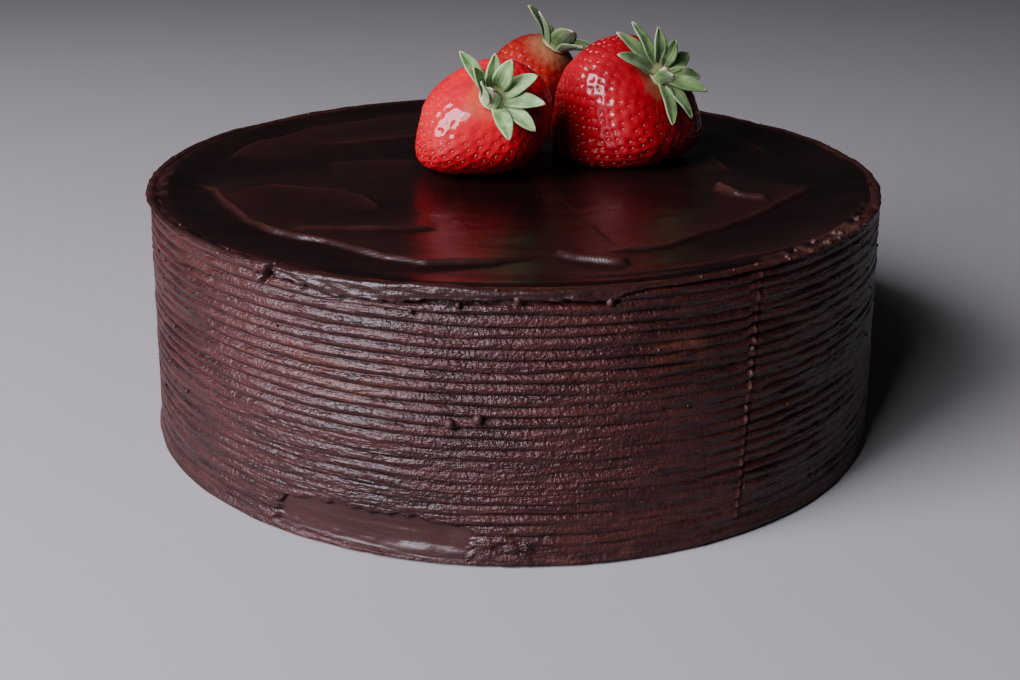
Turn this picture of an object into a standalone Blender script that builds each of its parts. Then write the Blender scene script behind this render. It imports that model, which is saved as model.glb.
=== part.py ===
# Chocolate layer cake, iced all over, its side combed into level ridges, with three
# strawberries set in the middle of the top.
# Metres, +Z up. The origin is the centre of the flat base, and -Y is the front.

import math

import bmesh
import bpy
from mathutils import Matrix, Vector

# Cake: a 9 inch tin's layers with icing round them
TOP_RADIUS = 0.1120
BASE_RADIUS = 0.1146
CAKE_HEIGHT = 0.0756
AROUND = 48

# Combed side: one ridge for each tooth of the comb
COMB_PITCH = 0.0030
COMB_DEPTH = 0.0013
COMB_START = 0.0055
RIDGES = 23
COMB_WANDER = 0.0005

# Foot: the plain band of icing under the lowest ridge
FOOT_SPREAD = 0.0008

# Rim and top
RIM_WIDTH = 0.0022
RIM_LIFT = 0.0007
RIM_ROUGHNESS = 0.0007
RIM_FLARE = 0.0009
BAND_WIDTH = 0.0150
BAND_DROP = 0.0012
SWEEP_HEIGHT = 0.0006
TOP_RINGS = 8

# Strawberries: places along the length, as shares of it from the leafy end, of the widest
# ring and of the two end rings; how full the shoulder and the taper are (power, root);
# how square the cross-section is (2 is round); and the gap that each keeps to the icing
GAP = 0.0004
BERRY_AROUND = 28
BERRY_RINGS = 21
WIDEST = 0.34
LEAFY_END = 0.020
TIP_END = 0.015
SHOULDER = (2.6, 0.55)
TAPER = (2.0, 0.62)
SQUARENESS = 2.5
SEED_DEPTH = 0.0006

# Leafy cap: a small disc with pointed sepals and the stub of the stem
CAP_RADIUS = 0.0042
CAP_THICKNESS = 0.0008
SEPAL_STEPS = 4
SEPAL_ROOT = 9.0
SEPAL_DROOP = 30.0
STEM_RADIUS = 0.0014
STEM_LENGTH = 0.0045
STEM_SIDES = 10

# name: centre x, y; the way its leafy end points (compass degrees from +X, then degrees
# above level); length, width, thickness as a share of width; depth in the icing; how it
# slumps: its lean to +X with height, how much wider it is at its foot and narrower at its
# top; and the way its cap faces, with the cap's own gap to the fruit
BERRIES = {
    "left": dict(
        at=(-0.0091, -0.0023), turn=-86.0, rise=32.0, length=0.0436, width=0.0404, flat=0.858, sink=0.0012,
        lean=0.224, full=0.30, narrow=0.49, cap_turn=-76.0, cap_rise=40.0, cap_gap=0.0007,
    ),
    "right": dict(
        at=(0.0375, 0.0195), turn=-42.5, rise=36.0, length=0.0470, width=0.0440, flat=0.926, sink=0.0035,
        lean=-0.130, full=0.545, narrow=0.20, cap_turn=-49.0, cap_rise=34.0, cap_gap=0.0008,
    ),
    "back": dict(
        at=(0.0048, 0.0451), turn=-28.0, rise=56.5, length=0.0427, width=0.0320, flat=0.866, sink=0.0028,
        lean=0.120, full=0.0, narrow=0.09, cap_turn=-30.0, cap_rise=58.0, cap_gap=0.0006,
    ),
}

# name: the sepals in turn, each its angle round the cap and its lift from the cap's
# plane in degrees, then its length and width
CAPS = {
    "left": [
        (20.0, 78.0, 0.0130, 0.0050),
        (60.0, 80.0, 0.0150, 0.0054),
        (98.0, 15.0, 0.0130, 0.0050),
        (128.0, 12.0, 0.0135, 0.0052),
        (155.0, 28.0, 0.0130, 0.0050),
        (192.0, 42.0, 0.0120, 0.0052),
        (236.0, 74.0, 0.0125, 0.0054),
        (272.0, 62.0, 0.0115, 0.0044),
        (305.0, 22.0, 0.0135, 0.0044),
        (335.0, 66.0, 0.0120, 0.0044),
    ],
    "right": [
        (36.0, 70.0, 0.0110, 0.0046),
        (76.0, 2.0, 0.0140, 0.0050),
        (106.0, 6.0, 0.0135, 0.0044),
        (136.0, 26.0, 0.0125, 0.0050),
        (165.0, 6.0, 0.0120, 0.0054),
        (196.0, 2.0, 0.0125, 0.0048),
        (226.0, 22.0, 0.0095, 0.0044),
        (257.0, 20.0, 0.0115, 0.0046),
        (283.0, 4.0, 0.0150, 0.0044),
        (308.0, 2.0, 0.0160, 0.0046),
        (334.0, 8.0, 0.0150, 0.0046),
    ],
    "back": [
        (32.0, 57.0, 0.0145, 0.0074),
        (62.0, 42.0, 0.0125, 0.0052),
        (100.0, 34.0, 0.0110, 0.0050),
        (142.0, 20.0, 0.0100, 0.0050),
        (190.0, 4.0, 0.0080, 0.0046),
        (242.0, 6.0, 0.0080, 0.0046),
        (288.0, 32.0, 0.0125, 0.0066),
        (322.0, 50.0, 0.0130, 0.0066),
    ],
}


def clear_scene():
    """Empty the file of whatever it opened with."""
    for old in list(bpy.data.objects):
        bpy.data.objects.remove(old, do_unlink=True)


def new_collection(name):
    made = bpy.data.collections.new(name)
    bpy.context.scene.collection.children.link(made)
    return made


def new_material(name, colour, roughness):
    made = bpy.data.materials.new(name)
    made.use_nodes = True
    shader = made.node_tree.nodes["Principled BSDF"]
    shader.inputs["Base Color"].default_value = (*colour, 1.0)
    shader.inputs["Roughness"].default_value = roughness
    shader.inputs["Metallic"].default_value = 0.0
    return made


def new_object(name, mesh, collection, material=None):
    made = bpy.data.objects.new(name, mesh)
    collection.objects.link(made)
    if material:
        mesh.materials.append(material)
    return made


def side_radius(z):
    """Radius of the iced side: it widens a little from the rim down to the foot."""
    return BASE_RADIUS + (TOP_RADIUS - BASE_RADIUS) * z / CAKE_HEIGHT


def comb_strength(angle, z):
    """How deep the comb bit: less where it was lifted or pressed lightly."""
    patches = 0.5 + 0.5 * math.sin(2.0 * angle + 1.1 + 40.0 * z) * math.sin(3.0 * angle - 60.0 * z)
    return 0.65 + 0.35 * patches


def comb_rise(angle):
    """How far the comb's level wandered up or down on its way round."""
    return COMB_WANDER * (math.sin(2.0 * angle + 0.4) + 0.5 * math.sin(5.0 * angle + 2.0))


def rim_level(angle):
    """Height of the ragged lip that the comb pushed up at the rim."""
    ragged = math.sin(7.0 * angle + 1.0) + math.sin(11.0 * angle + 2.3) + math.sin(17.0 * angle)
    return CAKE_HEIGHT + RIM_ROUGHNESS * ragged / 3.0


def rim_radius(angle):
    """Radius of the lip: it hangs out a little on the left."""
    return TOP_RADIUS - 0.0002 + RIM_FLARE * max(0.0, -math.cos(angle)) ** 6


def top_level(x, y):
    """Height of the spread top: a band round the edge slopes inward, and wide strokes of
    the knife leave low steps across the middle."""
    distance = math.hypot(x, y)
    into_band = min(1.0, max(0.0, (TOP_RADIUS - RIM_WIDTH - distance) / BAND_WIDTH))
    band = RIM_LIFT - (RIM_LIFT + BAND_DROP) * into_band
    fade = min(1.0, max(0.0, (TOP_RADIUS - BAND_WIDTH - distance) / BAND_WIDTH))
    sweeps = math.sin(math.hypot(x + 0.05, y - 0.14) / 0.0085) * SWEEP_HEIGHT * fade
    return CAKE_HEIGHT - RIM_LIFT + band + sweeps


def profile_rings():
    """The cake's outline from the foot up the side, over the rim to the top's centre.
    Each entry is a function of the angle that gives (radius, height)."""
    rings = [
        lambda a: (BASE_RADIUS - FOOT_SPREAD, 0.0),
        lambda a: (BASE_RADIUS + FOOT_SPREAD, 0.0012),
    ]
    for step in range(2 * RIDGES + 1):
        level = COMB_START + 0.5 * COMB_PITCH * step
        valley = step % 2 == 0

        def ring(a, level=level, valley=valley):
            cut = COMB_DEPTH * comb_strength(a, level) if valley else 0.0
            return side_radius(level) - cut, min(level + comb_rise(a), CAKE_HEIGHT - 0.0008)

        rings.append(ring)
    rings.append(lambda a: (rim_radius(a), rim_level(a)))
    rings.append(lambda a: (TOP_RADIUS - RIM_WIDTH, rim_level(a) - 0.0002))
    band_steps = [0.0, 0.35, 0.7, 1.0]
    radii = [TOP_RADIUS - 2.0 * RIM_WIDTH - BAND_WIDTH * s for s in band_steps]
    inner = radii[-1]
    radii += [inner * (1.0 - (k + 1) / (TOP_RINGS - 2)) for k in range(TOP_RINGS - 3)]
    for radius in radii:
        rings.append(lambda a, r=radius: (r, top_level(r * math.cos(a), r * math.sin(a))))
    return rings


def lathe(rings, around, low_pole, high_pole):
    """A closed skin through rings of points, each ring a function of the angle, shut by
    one point at each end."""
    mesh = bmesh.new()
    angles = [2.0 * math.pi * k / around for k in range(around)]
    loops = []
    for ring in rings:
        points = [ring(a) for a in angles]
        loops.append(
            [mesh.verts.new((r * math.cos(a), r * math.sin(a), z)) for a, (r, z) in zip(angles, points)]
        )
    bottom = mesh.verts.new(low_pole)
    top = mesh.verts.new(high_pole)
    for k in range(around):
        n = (k + 1) % around
        mesh.faces.new((bottom, loops[0][n], loops[0][k]))
        for low, high in zip(loops, loops[1:]):
            mesh.faces.new((low[k], low[n], high[n], high[k]))
        mesh.faces.new((loops[-1][k], loops[-1][n], top))
    bmesh.ops.triangulate(mesh, faces=mesh.faces[:])
    bmesh.ops.recalc_face_normals(mesh, faces=mesh.faces[:])
    data = bpy.data.meshes.new("lathe")
    mesh.to_mesh(data)
    mesh.free()
    return data


def make_cake(collection, material):
    """The whole iced cake as one solid, because it is uncut."""
    centre_top = (0.0, 0.0, top_level(0.0, 0.0))
    data = lathe(profile_rings(), AROUND, (0.0, 0.0, 0.0), centre_top)
    data.name = "cake"
    return new_object("cake", data, collection, material)


def berry_radius(s, width):
    """Half width of a strawberry at s, from 0 at the leafy end to 1 at the tip: full
    shoulders as far as its widest place, then a taper to a blunt tip."""
    if s < WIDEST:
        share = (WIDEST - s) / WIDEST
        power, fullness = SHOULDER
    else:
        share = (s - WIDEST) / (1.0 - WIDEST)
        power, fullness = TAPER
    return 0.5 * width * (1.0 - share**power) ** fullness


def straight_berry(name, berry, swell=0.0, seeds=True):
    """A strawberry along +Z, leafy end up, its widest place at the origin. Seeds sit in
    pits on every other ring, half a step round from the ring before. swell thickens it
    all over, for the pocket that it sits in."""
    length, width = berry["length"], berry["width"]

    def ring(s, row):
        def place(angle):
            column = round(angle / (2.0 * math.pi) * BERRY_AROUND)
            pit = seeds and row % 2 == 1 and (column + row // 2) % 2 == 0
            square = abs(math.cos(angle)) ** SQUARENESS + abs(math.sin(angle)) ** SQUARENESS
            radius = berry_radius(s, width) / square ** (1.0 / SQUARENESS)
            radius += swell - (SEED_DEPTH if pit else 0.0)
            return radius, (WIDEST - s) * length + (swell if s < WIDEST else -swell)

        return place

    shares = []
    for row in range(BERRY_RINGS):
        even = row / (BERRY_RINGS - 1)
        eased = 0.5 - 0.5 * math.cos(math.pi * even)
        shares.append(LEAFY_END + (1.0 - LEAFY_END - TIP_END) * (0.6 * even + 0.4 * eased))
    rings = [ring(s, row) for row, s in reversed(list(enumerate(shares)))]
    hollow = (0.0, 0.0, (WIDEST - LEAFY_END) * length + swell)
    tip = (0.0, 0.0, (WIDEST - 1.0) * length - swell)
    data = lathe(rings, BERRY_AROUND, tip, hollow)
    data.name = name
    data.transform(Matrix.Diagonal((1.0, berry["flat"], 1.0, 1.0)))
    return data


def facing(turn, rise):
    """Rotation that takes +Z to a way given by its compass turn and its rise above level
    in degrees, with the flat sides of what is turned facing up and down."""
    turn = math.radians(turn)
    rise = math.radians(rise)
    axis = Vector((math.cos(rise) * math.cos(turn), math.cos(rise) * math.sin(turn), math.sin(rise)))
    side = axis.cross(Vector((0.0, 0.0, 1.0))).normalized()
    across = axis.cross(side)
    return Matrix((side, across, axis)).transposed().to_4x4()


def berry_foot(berry):
    """Height of the turned berry's lowest point under its widest place."""
    plain = straight_berry("probe", berry, seeds=False)
    turned = facing(berry["turn"], berry["rise"])
    foot = min((turned @ v.co).z for v in plain.vertices)
    bpy.data.meshes.remove(plain)
    return foot


def slumped(point, berry, foot):
    """A point of the turned berry, once it has slumped: wider below its middle, narrower
    above it, and leaning to one side."""
    below = min(max(point.z / foot, 0.0), 1.0)
    above = min(max(-point.z / foot, 0.0), 1.4)
    spread = 1.0 + berry["full"] * below**2 - berry["narrow"] * above**2
    return Vector((point.x * spread + berry["lean"] * point.z, point.y * spread, point.z))


def lying_berry(name, berry, foot, swell=0.0, seeds=True):
    """The berry turned to the way it lies, and slumped."""
    data = straight_berry(name, berry, swell, seeds)
    data.transform(facing(berry["turn"], berry["rise"]))
    for vert in data.vertices:
        vert.co = slumped(vert.co, berry, foot)
    return data


def berry_place(berry, foot):
    """Where the berry lies: lowered until it sinks into the icing."""
    x, y = berry["at"]
    return Vector((x, y, CAKE_HEIGHT - BAND_DROP - berry["sink"] - foot))


def cap_place(berry, foot):
    """Where the cap sits, on the middle of the berry's leafy end, and which way it faces."""
    end = Vector((0.0, 0.0, (WIDEST - LEAFY_END) * berry["length"]))
    seat = slumped(facing(berry["turn"], berry["rise"]) @ end, berry, foot)
    turned = facing(berry["cap_turn"], berry["cap_rise"])
    clear = Matrix.Translation((0.0, 0.0, berry["cap_gap"]))
    return Matrix.Translation(berry_place(berry, foot) + seat) @ turned @ clear


def cut_pocket(cake, name, berry, foot, cutters):
    """Press the berry's own shape, a gap wider, into the top of the icing."""
    data = lying_berry(f"pocket_{name}", berry, foot, swell=GAP, seeds=False)
    cutter = new_object(f"pocket_{name}", data, cutters)
    cutter.location = berry_place(berry, foot)
    cutter.hide_render = True
    cutter.display_type = "WIRE"
    press = cake.modifiers.new(f"press_{name}", "BOOLEAN")
    press.operation = "DIFFERENCE"
    press.object = cutter
    press.solver = "EXACT"


def sepal_points(start, lift, length, width):
    """Rows of three points (left edge, mid rib, right edge) along one sepal. It starts at
    angle start on the cap's edge, widens to a third of its length and closes to a point.
    It leaves the cap a little steeper than lift and bends over towards its tip."""
    rows = []
    out = Vector((math.cos(start), math.sin(start), 0.0))
    cross = Vector((-math.sin(start), math.cos(start), 0.0))
    place = out * CAP_RADIUS
    for step in range(1, SEPAL_STEPS + 1):
        share = step / SEPAL_STEPS
        pitch = math.radians(lift + SEPAL_DROOP * (0.5 - share))
        place = place + (out * math.cos(pitch) + Vector((0, 0, math.sin(pitch)))) * length / SEPAL_STEPS
        half = 0.5 * width * math.sin(math.pi * (0.22 + 0.78 * share) ** 0.9) ** 0.8
        fold = 0.30 * half * (Vector((0, 0, math.cos(pitch))) - out * math.sin(pitch))
        rows.append((place - cross * half + fold, place, place + cross * half + fold))
    return rows


def cap_sheet(sepals):
    """The open sheet of the cap: a disc whose edge carries a strip for each sepal."""
    mesh = bmesh.new()
    roots = []
    for angle, *_ in sepals:
        around = [math.radians(angle + turn) for turn in (-SEPAL_ROOT, 0.0, SEPAL_ROOT)]
        roots.append(
            [mesh.verts.new((CAP_RADIUS * math.cos(a), CAP_RADIUS * math.sin(a), 0.0)) for a in around]
        )
    centre = mesh.verts.new((0.0, 0.0, 0.0004))
    edge = [vert for root in roots for vert in root]
    for k, vert in enumerate(edge):
        mesh.faces.new((centre, vert, edge[(k + 1) % len(edge)]))
    for root, (angle, lift, length, width) in zip(roots, sepals):
        rows = sepal_points(math.radians(angle), lift, length, width)
        before = root
        for row in rows[:-1]:
            here = [mesh.verts.new(p) for p in row]
            mesh.faces.new((before[0], here[0], here[1], before[1]))
            mesh.faces.new((before[1], here[1], here[2], before[2]))
            before = here
        point = mesh.verts.new(rows[-1][1])
        mesh.faces.new((before[0], point, before[1]))
        mesh.faces.new((before[1], point, before[2]))
    bmesh.ops.triangulate(mesh, faces=mesh.faces[:])
    data = bpy.data.meshes.new("cap")
    mesh.to_mesh(data)
    mesh.free()
    return data


def make_cap(name, cap, place, collection, parts, material):
    """The leafy cap on the berry's end: the thickened sheet and the stem's stub, joined."""
    made = new_object(f"cap_{name}", cap_sheet(cap), collection, material)
    made.matrix_world = place
    thick = made.modifiers.new("thickness", "SOLIDIFY")
    thick.thickness = CAP_THICKNESS
    thick.offset = 1.0
    thick.use_even_offset = False
    bpy.ops.mesh.primitive_cylinder_add(vertices=STEM_SIDES, radius=STEM_RADIUS, depth=STEM_LENGTH)
    stem = bpy.context.active_object
    stem.name = f"stem_{name}"
    for holder in list(stem.users_collection):
        holder.objects.unlink(stem)
    parts.objects.link(stem)
    stem.matrix_world = place @ Matrix.Translation((0.0, 0.0, 0.5 * STEM_LENGTH + 0.0003))
    stem.hide_render = True
    stem.display_type = "WIRE"
    join = made.modifiers.new("stem", "BOOLEAN")
    join.operation = "UNION"
    join.object = stem
    join.solver = "EXACT"
    return made


def main():
    clear_scene()
    cake_parts = new_collection("chocolate_cake")
    guides = new_collection("guides")
    guides.hide_render = True
    icing = new_material("chocolate_icing", (0.030, 0.011, 0.008), 0.35)
    flesh = new_material("strawberry_red", (0.55, 0.010, 0.012), 0.25)
    leaf = new_material("sepal_green", (0.16, 0.26, 0.07), 0.60)
    cake = make_cake(cake_parts, icing)
    for name, berry in BERRIES.items():
        foot = berry_foot(berry)
        cut_pocket(cake, name, berry, foot, guides)
        made = new_object(f"berry_{name}", lying_berry(f"berry_{name}", berry, foot), cake_parts, flesh)
        made.location = berry_place(berry, foot)
        make_cap(name, CAPS[name], cap_place(berry, foot), cake_parts, guides, leaf)
    for made in cake_parts.objects:
        made.data.shade_smooth()


main()
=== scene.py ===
# %% [markdown]
# # A chocolate cake with three strawberries
#
# This lesson dresses a plain solid model of an iced cake. The solid gives the true sizes
# and the collision shape; the pieces made here replace what shows. Each step says what the
# real thing is, how it could be made, and why it is made this way. Lengths are in metres.
# Named angles are in degrees and those of grids in radians, unless a comment says otherwise.

import math

import bpy
import numpy as np
from mathutils import Matrix, Vector


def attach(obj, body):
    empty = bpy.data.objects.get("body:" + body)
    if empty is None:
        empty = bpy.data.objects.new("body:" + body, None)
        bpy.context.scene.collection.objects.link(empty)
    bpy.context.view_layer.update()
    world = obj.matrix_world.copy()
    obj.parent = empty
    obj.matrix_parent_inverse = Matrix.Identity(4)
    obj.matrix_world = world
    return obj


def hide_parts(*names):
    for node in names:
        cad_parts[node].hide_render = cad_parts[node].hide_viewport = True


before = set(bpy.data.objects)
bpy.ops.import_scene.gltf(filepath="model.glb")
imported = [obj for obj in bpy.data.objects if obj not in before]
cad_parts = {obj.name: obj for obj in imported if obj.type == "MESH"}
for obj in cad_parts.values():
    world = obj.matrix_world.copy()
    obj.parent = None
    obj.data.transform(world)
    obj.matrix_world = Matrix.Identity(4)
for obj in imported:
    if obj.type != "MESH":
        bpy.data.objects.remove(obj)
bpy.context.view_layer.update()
print("solids:", sorted(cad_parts))

# %% [markdown]
# ## The camera
#
# A camera can be placed by eye, or worked out from the picture. Here the ellipses of the
# cake's top edge and foot gave its height, distance and tilt, so that the render lines up
# with the picture. It looks down, and its turn and lean are under half a degree.

# %% Place the camera
PICTURE_WIDTH = 1020
FOCAL_PIXELS = 1404.04
SENSOR = 36.0
CLOSEST_SEEN = 0.01
CAMERA_PLACE = (0.0, -0.43095, 0.18934)
# in radians
CAMERA_DOWN = 0.37861
CAMERA_TURN = -0.00307
CAMERA_LEAN = 0.00462


def link_new(name, data):
    """A new object with its data, in the scene and at the origin."""
    made = bpy.data.objects.new(name, data)
    bpy.context.scene.collection.objects.link(made)
    return made


def camera_axes(down, turn, lean):
    """Right, up and forward: forward is tilted down from +Y and turned, and the picture is
    then leaned about it."""
    forward = Vector(
        (math.sin(turn) * math.cos(down), math.cos(turn) * math.cos(down), -math.sin(down))
    )
    level = Vector((math.cos(turn), -math.sin(turn), 0.0))
    upright = level.cross(forward)
    right = math.cos(lean) * level + math.sin(lean) * upright
    up = -math.sin(lean) * level + math.cos(lean) * upright
    return right, up, forward


def place_camera():
    """The lens is the focal length in pixels over the picture's width, times the sensor."""
    right, up, forward = camera_axes(CAMERA_DOWN, CAMERA_TURN, CAMERA_LEAN)
    camera = link_new("camera", bpy.data.cameras.new("camera"))
    matrix = Matrix((right, up, -forward)).transposed().to_4x4()
    matrix.translation = CAMERA_PLACE
    camera.matrix_world = matrix
    camera.data.sensor_width = SENSOR
    camera.data.lens = FOCAL_PIXELS / PICTURE_WIDTH * SENSOR
    camera.data.clip_start = CLOSEST_SEEN
    bpy.context.scene.camera = camera
    return camera


camera = place_camera()
print("lens in millimetres:", round(camera.data.lens, 2))

# %% [markdown]
# ## Light and floor
#
# The picture is lit by one tall window on the left, a little in front: the highlights on
# the fruit are tall, those on the ridges face it, and the right side falls into shade.
# One large soft lamp stands for it, and a small weak one for its nearer edge, which
# reaches round the left strawberry. The floor is a plain pale sheet.

# %% Set the lamps and the floor
LOOK_AT = Vector((0.0, 0.0, 0.06))
WINDOW_COLOUR = (0.93, 0.865, 1.0)
ROOM_COLOUR = (0.60, 0.64, 0.70, 1.0)
ROOM_STRENGTH = 0.035
FLOOR_HALF = 3.0
FLOOR_LEVEL = -0.0002


def direction(turn, rise):
    """The direction that is turned from +X and raised above level."""
    turn, rise = math.radians(turn), math.radians(rise)
    return math.cos(rise) * math.cos(turn), math.cos(rise) * math.sin(turn), math.sin(rise)


def soft_lamp(name, turn, rise, distance, size, power):
    """A soft lamp of a width and height, in a direction from the cake and facing it."""
    away = Vector(direction(turn, rise))
    lamp = link_new(name, bpy.data.lights.new(name, "AREA"))
    lamp.location = LOOK_AT + away * distance
    lamp.rotation_euler = away.to_track_quat("Z", "Y").to_euler()
    lamp.data.shape = "RECTANGLE"
    lamp.data.size, lamp.data.size_y = size
    lamp.data.energy = power
    lamp.data.color = WINDOW_COLOUR


def pale_floor():
    """One square face, a hair under the cake's base."""
    signs = ((-1, -1), (1, -1), (1, 1), (-1, 1))
    mesh = bpy.data.meshes.new("floor")
    mesh.from_pydata([(FLOOR_HALF * x, FLOOR_HALF * y, FLOOR_LEVEL) for x, y in signs], [], [(0, 1, 2, 3)])
    return link_new("floor", mesh)


soft_lamp("window", -142.0, 31.0, 1.10, (0.60, 0.80), 42.0)
soft_lamp("window_edge", -118.0, 38.0, 1.30, (0.35, 0.45), 8.0)
floor = pale_floor()
world = bpy.data.worlds.new("studio")
bpy.context.scene.world = world
world.use_nodes = True
room = world.node_tree.nodes["Background"].inputs
room["Color"].default_value = ROOM_COLOUR
room["Strength"].default_value = ROOM_STRENGTH

# %% [markdown]
# ## A short way to write materials
#
# A material is a tree of nodes. Written node by node it hides the idea behind it, so one
# small class holds a socket and lets plain arithmetic add the Math nodes. Any other node
# comes from one method that takes its type, its settings and its sockets.

# %% A value that flows through a material


class Flow:
    """A value on its way through a material. Arithmetic on it adds Math nodes."""

    def __init__(self, finish, socket):
        self.finish = finish
        self.socket = socket

    def __add__(self, other):
        return self.finish.maths("ADD", self, other)

    def __radd__(self, other):
        return self.finish.maths("ADD", other, self)

    def __sub__(self, other):
        return self.finish.maths("SUBTRACT", self, other)

    def __rsub__(self, other):
        return self.finish.maths("SUBTRACT", other, self)

    def __mul__(self, other):
        return self.finish.maths("MULTIPLY", self, other)

    def __rmul__(self, other):
        return self.finish.maths("MULTIPLY", other, self)


# %% A material and its nodes


class Finish:
    """One material, and the few kinds of node that this cake's finishes need."""

    def __init__(self, name):
        self.material = bpy.data.materials.new(name)
        self.material.use_nodes = True
        self.tree = self.material.node_tree
        self.shader = self.tree.nodes["Principled BSDF"]
        self.place = self.node("TexCoord", out="Object")

    def node(self, kind, settings=None, sockets=None, out=0):
        """A node of a type, with its settings made first and its sockets next."""
        made = self.tree.nodes.new("ShaderNode" + kind)
        for name, value in (settings or {}).items():
            setattr(made, name, value)
        for name, value in (sockets or {}).items():
            self.feed(made.inputs[name], value)
        return Flow(self, made.outputs[out])

    def feed(self, socket, value):
        """Links a value that flows, and sets any other on the socket itself."""
        if isinstance(value, Flow):
            self.tree.links.new(value.socket, socket)
        else:
            socket.default_value = value

    def maths(self, operation, *values):
        """A Math node on one or two values."""
        return self.node("Math", {"operation": operation}, dict(enumerate(values)))

    def painted(self, attribute):
        """A value stored on the piece's points."""
        return self.node("Attribute", {"attribute_name": attribute}, out="Fac")

    def level(self):
        """Height above the base."""
        return self.node("SeparateXYZ", sockets={"Vector": self.place}, out="Z")

    def noise(self, scale, detail, roughness=0.5, stretch=None):
        """Soft random tones, closer together along an axis with a larger stretch."""
        place = self.place
        if stretch:
            place = self.node("Mapping", sockets={"Vector": place, "Scale": stretch})
        sockets = {"Vector": place, "Scale": scale, "Detail": detail, "Roughness": roughness}
        return self.node("TexNoise", sockets=sockets, out="Fac")

    def ease(self, value, low, high):
        """0 below low, 1 above high, and a smooth rise between."""
        sockets = {"Value": value, "From Min": low, "From Max": high}
        return self.node("MapRange", {"interpolation_type": "SMOOTHSTEP"}, sockets)

    def blend(self, share, first, second):
        """The first colour where share is 0 and the second where it is 1. Input 0 of a
        colour mix is its factor, and inputs 6 and 7 are its colours."""
        first, second = (c if isinstance(c, Flow) else (*c, 1.0) for c in (first, second))
        return self.node("Mix", {"data_type": "RGBA"}, {0: share, 6: first, 7: second}, out=2)

    def relief(self, height, depth, strength):
        """Fine relief: the shader's normal follows a height."""
        sockets = {"Height": height, "Distance": depth, "Strength": strength}
        self.feed(self.shader.inputs["Normal"], self.node("Bump", sockets=sockets))

    def set(self, **sockets):
        """Sets or links the shader's sockets, named in small letters with underscores."""
        known = {socket.name.lower().replace(" ", "_"): socket for socket in self.shader.inputs}
        for name, value in sockets.items():
            self.feed(known[name], value)
        return self.material


# %% Finish of the floor
floor_finish = Finish("pale_floor")
floor_colour = floor_finish.blend(floor_finish.noise(6.0, 2.0), (0.25, 0.247, 0.243), (0.27, 0.267, 0.262))
floor.data.materials.append(floor_finish.set(base_color=floor_colour, roughness=0.75))

# %% [markdown]
# ## Skins from arrays
#
# Every piece here is a skin over a grid of points: rows one way, and a closed loop the
# other way. One function turns such a grid into a closed mesh with a point at each end.
# Random unevenness comes from one noise function, seeded so that each run is the same.

# %% Curves and noise
NOISE_SIZE = 256


def eased(share):
    """0 to 1 with no corner at either end: three squares less two cubes."""
    share = np.clip(share, 0.0, 1.0)
    return share * share * (3.0 - 2.0 * share)


def bump_at(value, centre, width):
    """1 at centre, falling as a bell to nothing about two widths away."""
    return np.exp(-(((value - centre) / width) ** 2))


def window_between(value, low, high, soft):
    """1 between low and high, with soft edges: each rises over the width soft."""
    return eased((value - low) / soft + 0.5) * eased((high - value) / soft + 0.5)


def running_sum(values):
    """From 0, the sum so far of the mean of each two neighbours."""
    return np.concatenate([[0.0], np.cumsum(0.5 * (values[1:] + values[:-1]))])


def soft_noise(u, v, seed, wrap=NOISE_SIZE):
    """Random heights from -1 to 1 at whole numbers of u and v, eased between them. It
    repeats after wrap steps of u, so it closes round the cake."""
    heights = np.random.default_rng(seed).uniform(-1.0, 1.0, (wrap, NOISE_SIZE))
    iu = np.floor(u).astype(int)
    iv = np.floor(v).astype(int)
    su = eased(u - iu)
    sv = eased(v - iv)
    a, b = iu % wrap, (iu + 1) % wrap
    c, d = iv % NOISE_SIZE, (iv + 1) % NOISE_SIZE
    low = heights[a, c] * (1.0 - su) + heights[b, c] * su
    high = heights[a, d] * (1.0 - su) + heights[b, d] * su
    return low * (1.0 - sv) + high * sv


def line_noise(u, seed, wrap=NOISE_SIZE):
    """Soft noise along one direction only."""
    return soft_noise(u, np.zeros_like(u), seed, wrap)


# %% Grids and their faces


def round_grid(along, columns):
    """The two parameters of a closed skin: its place along, and its angle in radians."""
    return np.meshgrid(along, np.linspace(0.0, 2.0 * math.pi, columns, endpoint=False), indexing="ij")


def round_points(radius, angle, level):
    """Points at a radius, an angle in radians about +Z, and a level."""
    return np.stack(np.broadcast_arrays(radius * np.cos(angle), radius * np.sin(angle), level), axis=-1)


def closed_faces(rows, columns, flipped=False):
    """Faces between the rows of a grid that closes on itself, then the fans that join its
    first and last rows to the two points after it. flipped makes them face the other way."""
    index = np.arange(rows * columns).reshape(rows, columns)
    right = np.roll(index, -1, axis=1)
    pole = np.full(columns, rows * columns)
    quads = np.stack([index[:-1], right[:-1], right[1:], index[1:]], axis=-1).reshape(-1, 4)
    starts = np.stack([pole, right[0], index[0]], axis=-1)
    ends = np.stack([pole + 1, index[-1], right[-1]], axis=-1)
    if flipped:
        return [np.roll(faces[:, ::-1], 1, axis=1) for faces in (quads, starts, ends)]
    return [quads, starts, ends]


# %% Meshes and pieces


def closed_mesh(name, shapes, rows, columns, flipped=False):
    """One mesh of any number of closed shapes (shape, point, xyz). The points of each are
    its grid's, row by row, then the one before its first row and the one after its last."""
    shift = (np.arange(len(shapes)) * shapes.shape[1])[:, None, None]
    faces = []
    for part in closed_faces(rows, columns, flipped):
        faces += (part + shift).reshape(-1, part.shape[1]).tolist()
    mesh = bpy.data.meshes.new(name)
    mesh.from_pydata(shapes.reshape(-1, 3).tolist(), [], faces)
    mesh.shade_smooth()
    return mesh


def paint_points(mesh, label, parts):
    """Stores a value on each point, for a finish to read. The parts follow each other."""
    store = mesh.attributes.new(label, "FLOAT", "POINT")
    store.data.foreach_set("value", np.concatenate(parts).astype(np.float32))


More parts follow.
